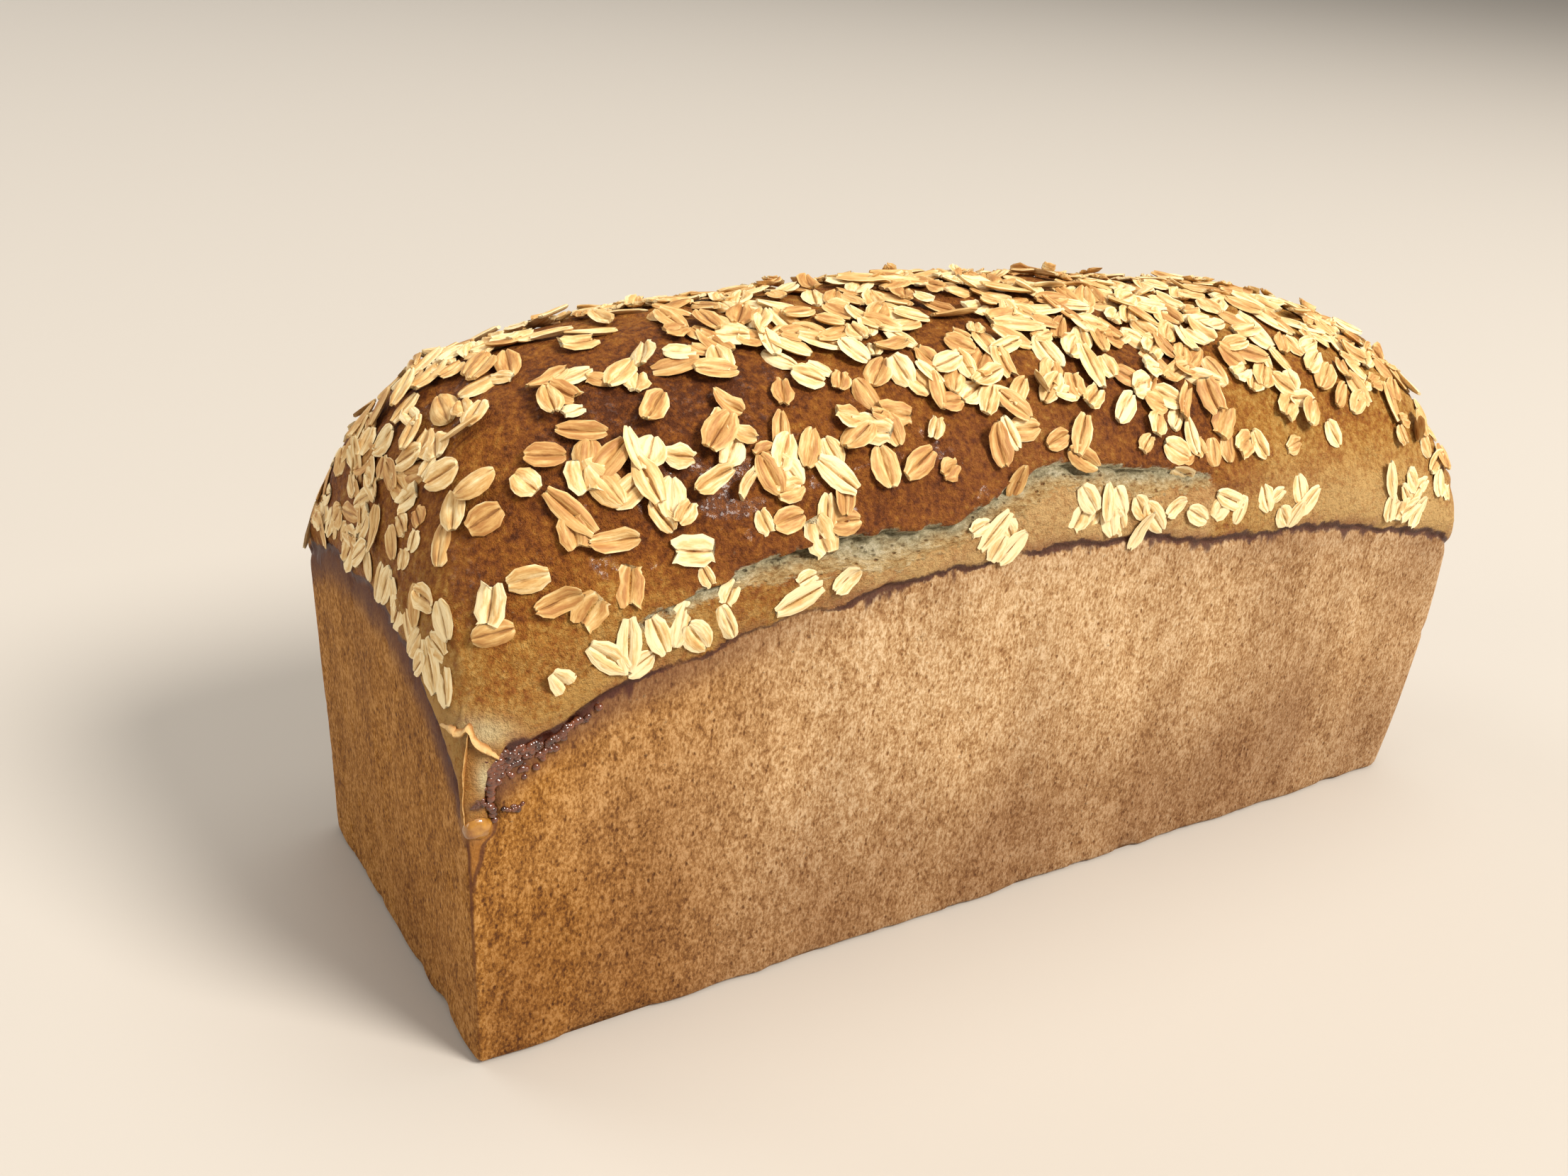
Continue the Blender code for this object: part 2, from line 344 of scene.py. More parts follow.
# %% [markdown]
# At the near corner the risen dough was pinched as it came over the tin. A narrow strip of it runs down the
# edge, cut off from the wall by a crevice filled with burnt syrup, with a shiny drop at its foot. The crevice
# is a line of named points on the front wall: how far along it is at each height.

# %% The pinched corner's places
PINCH_Z = (0.045, 0.049, 0.053, 0.0567, 0.0583, 0.061, 0.0655, 0.071, 0.0734, 0.0765)
PINCH_X = (-0.1468, -0.1462, -0.1451, -0.1445, -0.1425, -0.1421, -0.1431, -0.1429, -0.1425, -0.1405)
by_near_end = x < -0.11
facing_front = (y < -0.045) & by_near_end
from_pinch = x - np.interp(z, PINCH_Z, PINCH_X)
left_of_pinch = fade(-from_pinch, -0.0002, 0.0006)
from_end = HALF_LENGTH + END_LEAN * np.minimum(z, loaf.rim) + x
from_edge = np.maximum(from_end, HALF_WIDTH + SIDE_LEAN * z + y)
near_low_corner = by_near_end & (y < -0.02)
crevice = hump(from_pinch, 0, 0.0010) * facing_front
crevice *= fade(z, 0.0590, 0.0635) * fade(-z, -0.0785, -0.0755)
strip = fade(z, 0.055, 0.064) * fade(-z, -0.090, -0.082) * near_low_corner
strip *= np.where(facing_front & (from_end > 0.0006), left_of_pinch, fade(-from_edge, -0.0030, -0.0010))


def blob(middle, sizes):
    """A hump in all three directions about a spot."""
    return hump(loaf.points, np.array(middle), np.array(sizes)).prod(axis=1)


drop = blob((-0.1456, -0.0502, 0.0606), (0.0027, 0.003, 0.0027))
bubbly = blob((-0.1458, -0.0503, 0.0660), (0.0022, 0.004, 0.0017))
pale_dough = blob((-0.1446, -0.0504, 0.0718), (0.0014, 0.004, 0.0034))
pale_dough += 0.85 * blob((-0.1440, -0.0495, 0.0810), (0.0048, 0.006, 0.0024))
print("the crevice touches", int((crevice > 0.5).sum()), "vertices")

# %% [markdown]
# Over the rim the dough caught on the tin and its sugar burnt to a dark, beaded thread. The thread is
# strong along some stretches and nearly missing along others. By the pinched corner it turns up round the
# strip, so the line is lifted there.

# %% The burnt thread along the rim
CHAR_X = (-0.150, -0.128, -0.112, -0.100, -0.084, -0.068, -0.058, -0.030, -0.020, -0.004, 0.030, 0.080, 0.150)
CHAR = (1.0, 1.0, 0.8, 0.3, 0.2, 0.45, 0.85, 0.75, 0.35, 0.95, 1.0, 0.9, 0.95)
rim_wander = uneven(0.011, seed=5) * 1.6 + uneven(0.004, seed=6) * 1.0
by_corner = fade(-x, 0.110, 0.118) * (y < -0.04)
turn_up = 3.6 * hump(x, -0.1400, 0.0040) - 1.3 * hump(x, -0.1280, 0.0060)
turn_up *= by_corner * (1 - left_of_pinch)
loaf.from_thread = rise_mm + rim_wander * (1 - 0.7 * by_corner) - turn_up + 11 * strip
loaf.char = np.where(front, np.interp(x, CHAR_X, CHAR), 0.8)
loaf.char = np.clip(loaf.char + uneven(0.014, seed=7) * 0.5, 0, 1) * (1 - strip)
beads = hump(loaf.from_thread, 0, 1.3) * loaf.char
bead_relief = beads * (uneven(0.0028, seed=8) * 0.9 - 0.55) * MM
print("the thread is strong at", round(float((loaf.char > 0.6).mean()) * 100), "% of the skin's vertices")

# %% [markdown]
# Over the rim the crust is lumpy and blistered. Below it the dough took the tin's flat shape, but steam left
# long shallow ripples and small dimples. They are added up as one distance along the skin's normal.

# %% Lumps, blisters and ripples
crown_share = fade(rise_mm, 0, 6)
lumps = uneven(CROWN_LUMP_SIZE) * CROWN_LUMP
small_lumps = uneven(0.013, seed=1) * 0.0007 + uneven(0.006, seed=2) * 0.0003
blisters = fade(uneven(0.0075, seed=9), 0.32, 0.62) * 0.0007
slant = loaf.points @ np.array([[1, 0, 0], [0, 1, 0], [0.30, 0, 1]])
ripples = unevenness(slant, 0.011, stretch=(1, 1, 6), seed=10) * 0.0005
dimples = -fade(uneven(0.0045, seed=11), 0.35, 0.6) * 0.0004
on_wall = fade(-rise_mm, 0, 4)
relief = crown_share * (lumps + small_lumps + blisters) + on_wall * (ripples + dimples) + bead_relief
relief += strip * 0.0004 - crevice * 0.0020
caramel_beads = np.exp(-(((x + 0.133) / 0.009) ** 4)) * (y < -0.04) * hump(loaf.from_thread, 0, 1.7)
caramel_beads *= (1 - strip) * (1 - left_of_pinch)
tear = uneven(0.0022, 12, (1, 1, 2)) * 0.0011
tear += uneven(0.0055, seed=13) * 0.0008
melted = uneven(0.0045, 25, (1.6, 1, 1)) * 0.0006
relief += loaf.crumb * tear + under_split * melted + overhang * 0.0006 - split_depth
print("the relief runs from and to", (np.array([relief.min(), relief.max()]) / MM).round(2), "mm")

# %% [markdown]
# The base is nearly flat, but the foot is not a ruled line. Dough seldom fills the edge of a tin, so the
# foot has small notches and pits.

# %% The foot's notches
foot_share = fade(-z, -0.006, 0)
notches = fade(unevenness(loaf.points * (1, 1, 0), 0.0100, seed=14), 0.05, 0.6) * 0.0009
relief -= foot_share * notches * ~loaf.on_floor
print("the deepest notch is", round(float((foot_share * notches).max()) / MM, 2), "mm")

# %% [markdown]
# The cells now become a mesh, and each vertex moves along its normal by the relief. The widest part of the
# crown is then drawn in a little, so that with the oats on it the loaf stays close to the imported size.

# %% The skin becomes a mesh
WIDEST = 0.0512
DRAWN_IN = 0.6  # share of what goes beyond the widest place that is taken off


def skin_mesh(points, quads, outline):
    made = bpy.data.meshes.new("loaf_crust")
    faces = quads.tolist() + [outline]
    made.from_pydata(points.tolist(), [], faces)
    tidy = bmesh.new()
    tidy.from_mesh(made)
    bmesh.ops.recalc_face_normals(tidy, faces=tidy.faces)
    tidy.to_mesh(made)
    tidy.free()
    made.shade_smooth()
    return made


def normals_of(made):
    values = np.empty(len(made.vertices) * 3, dtype=np.float32)
    made.vertices.foreach_get("normal", values)
    return values.reshape(-1, 3)


crust_mesh = skin_mesh(loaf.points, skin_quads, floor_outline)
outward = normals_of(crust_mesh)
outward[loaf.on_floor] = 0
moved = loaf.points + outward * relief[:, None]
moved[:, 2] = np.maximum(moved[:, 2], 0)
beyond = np.maximum(np.abs(moved[:, 1]) - WIDEST, 0)
moved[:, 1] -= np.sign(moved[:, 1]) * beyond * DRAWN_IN
moved[:, :2] -= shift
crust_mesh.vertices.foreach_set("co", moved.astype(np.float32).ravel())
crust_mesh.update()
print("the crust reaches", (moved.min(axis=0) / MM).round(1), "to", (moved.max(axis=0) / MM).round(1), "mm")

# %% [markdown]
# ## What the finish and the oats need to know
#
# The measures are stored on the vertices as named attributes. A finish can read them anywhere on the skin,
# which keeps its colours on the real edges of the bread without any picture wrapped round it.
#
# How dark the crown baked comes first. It is palest by the near corner and under the split. Towards the far
# end it is painted paler too, a painted highlight where the light falls brightest. The egg wash lay thickest
# in a few spots on the front, which shine most and carry a painted purplish sheen.

# %% How dark and how shiny the crown is
honey = hump(near_corner, 0, 0.038) * fade(-rise_mm, -30, -15)
# The paler crown towards the far end is a painted highlight.
bake = 0.34 + 0.32 * fade(rise_mm, 3, 20) + 0.10 * fade(-x, 0.02, 0.10) - 0.44 * fade(x, 0.02, 0.11)
bake -= 0.10 * fade(loaf.upward, 0.75, 1.0) + 0.58 * honey + 0.26 * under_split
bake += 0.30 * uneven(0.035, seed=15) * fade(rise_mm, 0, 10)
# A pale tan lies on the band under the split, its own colour, and on the lower front crown towards the far
# end, where it is a painted highlight.
tan = 0.75 * under_split * fade(x, -0.085, -0.058)
tan += 0.6 * fade(x, 0.02, 0.10) * fade(-rise_mm, -26, -6) * front
gloss_spot = 0.8 * hump(x, -0.014, 0.032) * hump(rise_mm, 23, 7) * front
gloss_spot += 0.7 * hump(x, 0.055, 0.030) * hump(rise_mm, 12, 6) * front
gloss_spot += 0.7 * hump(rise_mm, 9, 9) * fade(-x, -0.03, 0.01)
print("the crown's bake runs from and to", np.percentile(bake[loaf.on_crown], (5, 95)).round(2))

# %% [markdown]
# The walls are toasted most at the near end, along their edges and low down, where the tin was hottest. The
# near end is scorched in a band just under the rim.

# %% How toasted the walls are
on_ends = fade(np.abs(x) - HALF_LENGTH - END_LEAN * np.minimum(z, loaf.rim), -0.004, -0.0005)
toasting = 0.20 * fade(-z, -0.050, -0.004) * fade(-x, 0.0, 0.09)
toasting += 0.32 * fade(-from_edge, -0.030, 0.0) * (x < 0) + on_ends * np.where(x < 0, 0.74, 0.35)
toasting += 0.74 * fade(-x, 0.062, 0.112) + 0.26 * uneven(0.030, seed=23)
# This measure darkens the walls low down, towards the far end and along the far end's rim: partly browning,
# partly painted shade where less light reaches.
browning = 0.85 * fade(-z, -0.076, -0.008) * (1 - 0.7 * on_ends) * (1 - 0.6 * fade(x, 0.070, 0.120))
browning *= 1 - 0.40 * fade(-x, 0.105, 0.130)
browning += 0.35 * fade(x, 0.105, 0.135) * fade(z, 0.040, 0.075)
browning += 0.32 * fade(x, 0.030, 0.075) + 0.40 * uneven(0.020, 26, (1, 1, 2))
scorch = on_ends * (x < 0) * fade(rise_mm, -12, -3) * (0.85 + 0.8 * uneven(0.006, 24, (1, 1, 2.5)))
print("scorched:", int((scorch > 0.5).sum()), "vertices")

# %% [markdown]
# The pinched strip is amber, and so is the wall between the corner's edge and the line where syrup ran down.
# Both lines are kept as distances in millimetres, so that the finish can draw them thinner than the skin's
# cells. Along the sides and ends the oats have to lie snug, and that is marked too.

# %% Marks by the near corner, and where oats lie snug
caramel = np.clip(crevice + 0.85 * bubbly + caramel_beads * 0.9, 0, 1)
across_corner = from_end - (HALF_WIDTH + SIDE_LEAN * z + y)
FARTHEST = 0.02  # distances from the two lines are kept up to this
from_drip = np.where(facing_front, from_pinch, -FARTHEST)
corner_side = by_near_end & (y < -0.03)
amber = corner_side * fade(-from_drip, -0.0002, 0.0006) * fade(across_corner, -0.0004, 0.0004)
amber = strip + amber * fade(z, 0.046, 0.052)
snug = np.maximum(fade(np.abs(y), 0.0435, 0.0490), fade(np.abs(x), 0.139, 0.147))
print("syrup covers", int((caramel > 0.5).sum()), "vertices")


# %% [markdown]
# An attribute is a list with one number for each vertex. The ones that stand for a share are kept between 0
# and 1, so that the finish can use them as they are.

# %% Store the measures
def store(made, name, values):
    layer = made.attributes.new(name, "FLOAT", "POINT")
    layer.data.foreach_set("value", np.asarray(values, dtype=np.float32))


MEASURES = {
    "rise_mm": rise_mm,
    "height_mm": z / MM,
    "thread_mm": loaf.from_thread,
    "drip_mm": np.clip(from_drip, -FARTHEST, FARTHEST) / MM,
    "corner_mm": np.clip(across_corner, -FARTHEST, FARTHEST) / MM,
    "split_place": np.where(loaf.on_crown & front, np.clip(loaf.within, -3, 3), 3),
    "char": loaf.char,
    "crumb": loaf.crumb,
    "caramel": caramel,
    "drop": drop,
    "snug": snug,
    "corner_side": corner_side.astype(float),
    "amber": np.clip(amber, 0, 1) * (z < 0.0785),
    "bake": np.clip(bake, 0, 1),
    "tan": np.clip(tan, 0, 1),
    "gloss_spot": np.clip(gloss_spot, 0, 1),
    "toasting": np.clip(toasting, 0, 1),
    "browning": np.clip(browning, 0, 1),
    "scorch": np.clip(scorch, 0, 1),
    "pale_dough": np.clip(pale_dough, 0, 1),
}
for name, values in MEASURES.items():
    store(crust_mesh, name, values)
print("stored", list(MEASURES))

# %% [markdown]
# ## Where the oats fell
#
# Oats land thickest along the top and thin out down the slope, where they slide off. Under the split they
# caught in clumps, and along the near end they gathered in a row just over the rim. That is stored as a
# density, in flakes for each square centimetre, together with two marks: how upright a flake stands, as in
# that row, and whether it is a pale floury one, as under the split.

# %% Density of the oats
turn = np.degrees(np.abs(loaf.angle))
CLUMPS = ((-0.131, -0.092), (-0.081, -0.061), (-0.039, -0.019), (-0.004, 0.082), (0.109, 0.127))
SOFT = 0.002  # how far to each side of its end a clump thins out
clumps = sum(fade(x, start - SOFT, start + SOFT) * fade(-x, -end - SOFT, -end + SOFT)
             for start, end in CLUMPS)
patches = 0.75 + 0.9 * uneven(0.022, seed=22)
# Thick along the top, with more on the slopes of the near half and towards the far end.
top = 3.5 - 1.2 * fade(turn, 20, 42) - 1.1 * fade(turn, 44, 66)
top += 1.7 * fade(-x, 0.020, 0.080) * fade(-turn, -76, -60) * fade(turn, 30, 50)
top += 0.7 * fade(loaf.along, 0.1, 0.9) * fade(-turn, -75, -45)
split_rise_mm = split_rise(loaf.along) / MM
half_width_mm = half_width / MM
over_split = rise_mm > split_rise_mm + half_width_mm
band = (rise_mm > 1.5) & (rise_mm < np.maximum(split_rise_mm - half_width_mm, 9.0 * (x < -0.09))) & front
low_share = np.where(x < -0.095, fade(rise_mm, 7, 11), 0)
density = np.where(front & ~over_split, np.maximum(0.12, 1.1 * low_share), top * patches)
in_clump = band & loaf.on_crown & (clumps > 0)
density = np.where(in_clump, 3.2 * clumps * (0.8 + uneven(0.008, seed=27)), density)
near_end = fade(-loaf.along, 0.80, 1.0) * loaf.on_crown
end_row = near_end * hump(rise_mm, 4.5, 3.2) * fade(near_corner, 0.012, 0.022)
density = density * (1 - 0.30 * near_end) + 6.0 * end_row
density *= fade(rise_mm, 2.0, 4.5) * (1 - 0.85 * hump(near_corner, 0, 0.020))
density *= loaf.on_crown * (1 - 0.9 * loaf.crumb)
MOST_OATS = 4.0  # flakes for each square centimetre where they are thickest
store(crust_mesh, "oats_per_cm2", np.clip(density, 0, MOST_OATS))
store(crust_mesh, "upright", np.clip(end_row * 1.4 + band * 0.75, 0, 1))
store(crust_mesh, "floury", (band * loaf.on_crown).astype(float))
print("oats fall on", round(float((density > 0.5).mean()) * 100), "% of the skin's vertices")

# %% [markdown]
# A mesh is only seen once an object carries it into the scene.

# %% The loaf's object
def add_to_scene(name, data):
    made = bpy.data.objects.new(name, data)
    bpy.context.scene.collection.objects.link(made)
    return made


crust = add_to_scene("loaf_crust", crust_mesh)
print(crust.name, "has", len(crust_mesh.polygons), "faces")


# %% [markdown]
# ## Wiring finishes
#
# A finish is a tree of nodes. Written out one by one they hide what the finish does, so a few small helpers
# make a node, wire its inputs and hand back its output.

# %% Placing a node
def feed(tree, socket, value):
    """Wires an output into a socket, or sets the socket to a plain value."""
    if isinstance(value, bpy.types.NodeSocket):
        tree.links.new(value, socket)
    elif value is not None:
        socket.default_value = value


def fill(tree, made, inputs):
    """Feeds inputs of a node, each given by its name or its number."""
    for key, value in inputs.items():
        feed(tree, made.inputs[key], value)


def place_node(tree, kind, inputs=None, **settings):
    """A new node of that kind, with its settings made and then its inputs fed."""
    made = tree.nodes.new(kind)
    for name, value in settings.items():
        setattr(made, name, value)
    fill(tree, made, inputs or {})
    return made


print("ready to place nodes")

# %% [markdown]
# Arithmetic in a tree takes one Math node for each step. These helpers take numbers or outputs alike, so a
# measure from the mesh and a plain size are written the same way.

# %% Arithmetic with nodes
def work_out(tree, operation, first, second=None, third=None, clamp=False):
    made = place_node(tree, "ShaderNodeMath", operation=operation, use_clamp=clamp)
    for socket, value in zip(made.inputs, (first, second, third)):
        feed(tree, socket, value)
    return made.outputs[0]


def times(tree, *values):
    """The product of the values."""
    product = values[0]
    for value in values[1:]:
        product = work_out(tree, "MULTIPLY", product, value)
    return product


def raised(tree, base, value, amount):
    """The base with so much of a value added."""
    return work_out(tree, "MULTIPLY_ADD", value, amount, base)


def swayed(tree, base, cloud, amount):
    """The base raised and lowered by a cloud that runs from 0 to 1, by that much from end to end."""
    return raised(tree, base, work_out(tree, "SUBTRACT", cloud, 0.5), amount)


def soft_step(tree, value, start, end, low=0.0, high=1.0):
    """low before start, high after end, and smooth between."""
    made = place_node(tree, "ShaderNodeMapRange", interpolation_type="SMOOTHSTEP")
    for socket, given in zip(made.inputs, (value, start, end, low, high)):
        feed(tree, socket, given)
    return made.outputs[0]


print("ready to calculate")

# %% [markdown]
# Colours are mixed by a share, laid over one another, or picked from a run of colours. Baked things are best
# picked from a run, because their hue changes along with how dark they are.

# %% Mixing colours
def mingle(tree, share, first, second, kind="RGBA", blend="MIX"):
    """Mixes two colours, or two numbers, by that share."""
    made = place_node(tree, "ShaderNodeMix", data_type=kind)
    if kind == "RGBA":
        made.blend_type = blend
    sockets = [s for s in made.inputs if s.enabled]
    for socket, value in zip(sockets, (share, first, second)):
        feed(tree, socket, value)
    return next(s for s in made.outputs if s.enabled)


def laid_over(tree, colour, *layers):
    """The colour with tints laid over it one after another. layers are (share, tint)."""
    for share, tint in layers:
        colour = mingle(tree, share, colour, (*tint, 1))
    return colour


def shades(tree, value, stops):
    """A run of colours: value picks the place along it. stops are (place, colour)."""
    made = place_node(tree, "ShaderNodeValToRGB")
    run = made.color_ramp
    while len(run.elements) < len(stops):
        run.elements.new(0.5)
    for element, (position, colour) in zip(run.elements, stops):
        element.position = position
        element.color = (*colour, 1)
    feed(tree, made.inputs[0], value)
    return made.outputs[0]


print("ready to mix")

# %% [markdown]
# What varies over a surface comes from noise or from the numbers stored on the mesh. Fine relief goes through
# a Bump node, which tilts the light without moving the mesh.

# %% Noise, stored numbers and relief
def specks(tree, where, size, detail=3.0, roughness=0.55):
    """Cloudy noise from 0 to 1 with lumps of that size, in metres."""
    inputs = {"Vector": where, "Scale": 1 / size, "Detail": detail, "Roughness": roughness}
    return place_node(tree, "ShaderNodeTexNoise", inputs).outputs["Fac"]


def measure(tree, name):
    """A number stored on the mesh, read in a finish."""
    return place_node(tree, "ShaderNodeAttribute", attribute_name=name).outputs["Fac"]


def triple(tree, x, y, z):
    return place_node(tree, "ShaderNodeCombineXYZ", {0: x, 1: y, 2: z}).outputs[0]


def new_finish(name):
    finish = bpy.data.materials.new(name)
    finish.use_nodes = True
    return finish, finish.node_tree, finish.node_tree.nodes["Principled BSDF"]


def add_relief(tree, shader, height):
    """Fine relief through a Bump node, from a height in millimetres."""
    bump = place_node(tree, "ShaderNodeBump", {"Distance": MM, "Height": height})
    feed(tree, shader.inputs["Normal"], bump.outputs[0])


print("helpers ready")

# %% [markdown]
# ## A grain that several finishes share
#
# Crust, crumb and oats all have fine fibres and pores. One node group makes them: a fine grain drawn out one
# way, slow patches of lighter and darker colour, and small sharp pits. Each finish sets its own sizes.

# %% The grain group
def make_grain_group():
    group = bpy.data.node_groups.new("baked grain", "ShaderNodeTree")
    sockets = group.interface
    sockets.new_socket("Where", in_out="INPUT", socket_type="NodeSocketVector")
    for name, default in (("Fibre Scale", 1100.0), ("Patch Scale", 60.0), ("Pit Scale", 700.0)):
        made = sockets.new_socket(name, in_out="INPUT", socket_type="NodeSocketFloat")
        made.default_value = default
    for name in ("Fibre", "Patch", "Pits"):
        sockets.new_socket(name, in_out="OUTPUT", socket_type="NodeSocketFloat")
    given = place_node(group, "NodeGroupInput").outputs
    result = place_node(group, "NodeGroupOutput").inputs
    for name, scale, detail in (("Fibre", "Fibre Scale", 5.0), ("Patch", "Patch Scale", 3.0)):
        inputs = {"Vector": given["Where"], "Scale": given[scale], "Detail": detail, "Roughness": 0.70}
        feed(group, result[name], place_node(group, "ShaderNodeTexNoise", inputs).outputs["Fac"])
    inputs = {"Vector": given["Where"], "Scale": given["Pit Scale"]}
    pores = place_node(group, "ShaderNodeTexVoronoi", inputs)
    lot = place_node(group, "ShaderNodeSeparateColor", {0: pores.outputs["Color"]})
    pit = soft_step(group, pores.outputs["Distance"], 0.08, 0.34, 1.0, 0.0)
    feed(group, result["Pits"], times(group, pit, soft_step(group, lot.outputs[0], 0.45, 0.60)))
    return group


grain_group = make_grain_group()
print("made the node group", grain_group.name)

# %% [markdown]
# A finish uses the group through one helper, which takes sizes in metres. The grain is read at the object's
# own coordinates, so it goes right through the bread and has no seams.

# %% Using the grain
def grain(tree, where, fibre_size, patch_size, pit_size):
    """The three outputs of the grain group, at those sizes in metres."""
    scales = {"Fibre Scale": 1 / fibre_size, "Patch Scale": 1 / patch_size, "Pit Scale": 1 / pit_size}
    made = place_node(tree, "ShaderNodeGroup", {"Where": where, **scales}, node_tree=grain_group)
    return made.outputs["Fibre"], made.outputs["Patch"], made.outputs["Pits"]


def object_place(tree, stretch=(1, 1, 1)):
    """Object coordinates, squeezed along each axis by that much so that the grain is drawn out."""
    where = place_node(tree, "ShaderNodeTexCoord").outputs["Object"]
    return place_node(tree, "ShaderNodeMapping", {"Vector": where, "Scale": stretch}).outputs[0]


print("the grain is ready to use")

# %% [markdown]
# ## The crust's finish
#
# The whole crust is one finish, because its kinds run into each other: tan and matt on the walls, honey to
# chestnut and glossy on the crown, a burnt thread at the rim, and grey-gold crumb in the split. Each kind is
# made on its own, then they are laid over one another by the stored measures.
#
# The walls come first. Their tone is fibres, patches and flecks, read in a pale run of colours and a toasted
# one. A grey-brown is multiplied in low down and towards the far end, partly browning and partly painted
# shade. Over them lie dusk under the rim, the scorch at the near end, and amber by the pinched corner.

# %% Tan walls
crust_finish, tree, shader = new_finish("baked crust")
upright_place = object_place(tree, (1.0, 1.0, 0.55))
fibre, patch, pits = grain(tree, upright_place, 0.00065, 0.008, 0.0013)
rise = measure(tree, "rise_mm")
toasting = measure(tree, "toasting")
wall_tone = swayed(tree, 0.58, fibre, 3.2)
wall_tone = swayed(tree, wall_tone, patch, 0.80)
wall_tone = raised(tree, wall_tone, pits, -0.45)
flecks = specks(tree, upright_place, 0.0022, detail=4.0, roughness=0.65)
wall_tone = swayed(tree, wall_tone, flecks, 1.4)
pale_wall = shades(tree, wall_tone, [
    (0.00, (0.250, 0.110, 0.036)),
    (0.35, (0.430, 0.235, 0.095)),
    (0.65, (0.575, 0.360, 0.175)),
    (1.00, (0.760, 0.540, 0.320)),
])
toasted_wall = shades(tree, wall_tone, [
    (0.00, (0.120, 0.038, 0.006)),
    (0.35, (0.255, 0.098, 0.014)),
    (0.65, (0.390, 0.168, 0.030)),
    (1.00, (0.560, 0.285, 0.085)),
])
wall_colour = mingle(tree, toasting, pale_wall, toasted_wall)
# A grey-brown multiplied in where the walls darken low down and towards the far end: partly browning, partly
# painted shade.
SHADE_AND_BROWNING = (0.560, 0.480, 0.430, 1)
wall_colour = mingle(tree, measure(tree, "browning"), wall_colour, SHADE_AND_BROWNING, blend="MULTIPLY")
dusk = soft_step(tree, rise, -11.0, -1.5)
dusk_share = raised(tree, 0.12, toasting, 0.75)
dusk_share = work_out(tree, "MULTIPLY", dusk, dusk_share, clamp=True)
scorched = times(tree, measure(tree, "scorch"), soft_step(tree, fibre, 0.30, 0.60, 0.95, 0.55))
amber_share = times(tree, measure(tree, "amber"), 0.75)
DUSKY, SCORCHED, AMBER_WALL = (0.150, 0.060, 0.032), (0.105, 0.045, 0.034), (0.330, 0.130, 0.024)
wall_colour = laid_over(
    tree, wall_colour, (dusk_share, DUSKY), (scorched, SCORCHED), (amber_share, AMBER_WALL),
)
print("walls wired, without their lines")

# %% [markdown]
# Two thin dark lines run by the near corner, one down the corner's edge and one below the crevice. The one
# below the crevice is dried syrup. The one down the edge is partly dried syrup and partly painted shade that
# makes the rounded edge look sharp. Each is where a stored distance is 0, and a cloud makes it wander.

# %% Lines of dried syrup, and painted shade down the corner's edge
height_mm = measure(tree, "height_mm")


def thin_line(name, start, end):
    """1 on the line where a stored distance in millimetres is 0, fading to 0 beside it."""
    away = work_out(tree, "ABSOLUTE", swayed(tree, measure(tree, name), patch, 1.6))
    return soft_step(tree, away, start, end, 1, 0)


drip_line = times(tree, thin_line("drip_mm", 0.20, 0.75), soft_step(tree, height_mm, 44, 48))
drip_line = times(tree, drip_line, soft_step(tree, height_mm, 61, 64, 1, 0))
# Down the corner's edge: partly dried syrup, partly painted shade that sharpens the rounded edge.
syrup_and_edge_shade = times(tree, thin_line("corner_mm", 0.15, 0.80), soft_step(tree, height_mm, 4, 48, 0.35, 1.0))
syrup_and_edge_shade = times(tree, syrup_and_edge_shade, soft_step(tree, height_mm, 57, 61, 1, 0))
syrup_and_edge_shade = work_out(tree, "MAXIMUM", syrup_and_edge_shade, drip_line)
near_side = soft_step(tree, measure(tree, "corner_side"), 0.3, 0.7)
DRIED_SYRUP_AND_SHADE = (0.110, 0.034, 0.014)
wall_colour = laid_over(tree, wall_colour, (times(tree, syrup_and_edge_shade, near_side, 0.85), DRIED_SYRUP_AND_SHADE))
print("walls wired")

# %% [markdown]
# The crown runs from honey in the folds, where it baked least, to chestnut on the top. One run of colours
# does that better than a mix of two, because a crust turns redder before it turns dark. Near the thread it
# has a rusty blush, and the strip at the pinched corner is amber with pale dough in it.

# %% Honey to chestnut crown
crown_place = object_place(tree)
mottle, cloud, dots = grain(tree, crown_place, 0.0017, 0.015, 0.0019)
tone = measure(tree, "bake")
tone = swayed(tree, tone, mottle, 1.9)
tone = raised(tree, tone, dots, 0.18)
tone = swayed(tree, tone, cloud, 0.72)
crown_colour = shades(tree, tone, [
    (0.00, (0.560, 0.320, 0.085)),
    (0.25, (0.430, 0.200, 0.034)),
    (0.50, (0.310, 0.105, 0.012)),
    (0.78, (0.195, 0.054, 0.006)),
    (1.00, (0.095, 0.023, 0.003)),
])
# Over the gloss spots a purplish tint is a painted sheen, the cool window's reflection painted into the
# colour.
PAINTED_SHEEN_TINT = (0.180, 0.055, 0.028)
crown_colour = laid_over(tree, crown_colour, (times(tree, measure(tree, "gloss_spot"), 0.30), PAINTED_SHEEN_TINT))
tan_colour = shades(tree, tone, [
    (0.0, (0.680, 0.450, 0.210)),
    (0.5, (0.500, 0.270, 0.100)),
    (1.0, (0.240, 0.095, 0.026)),
])
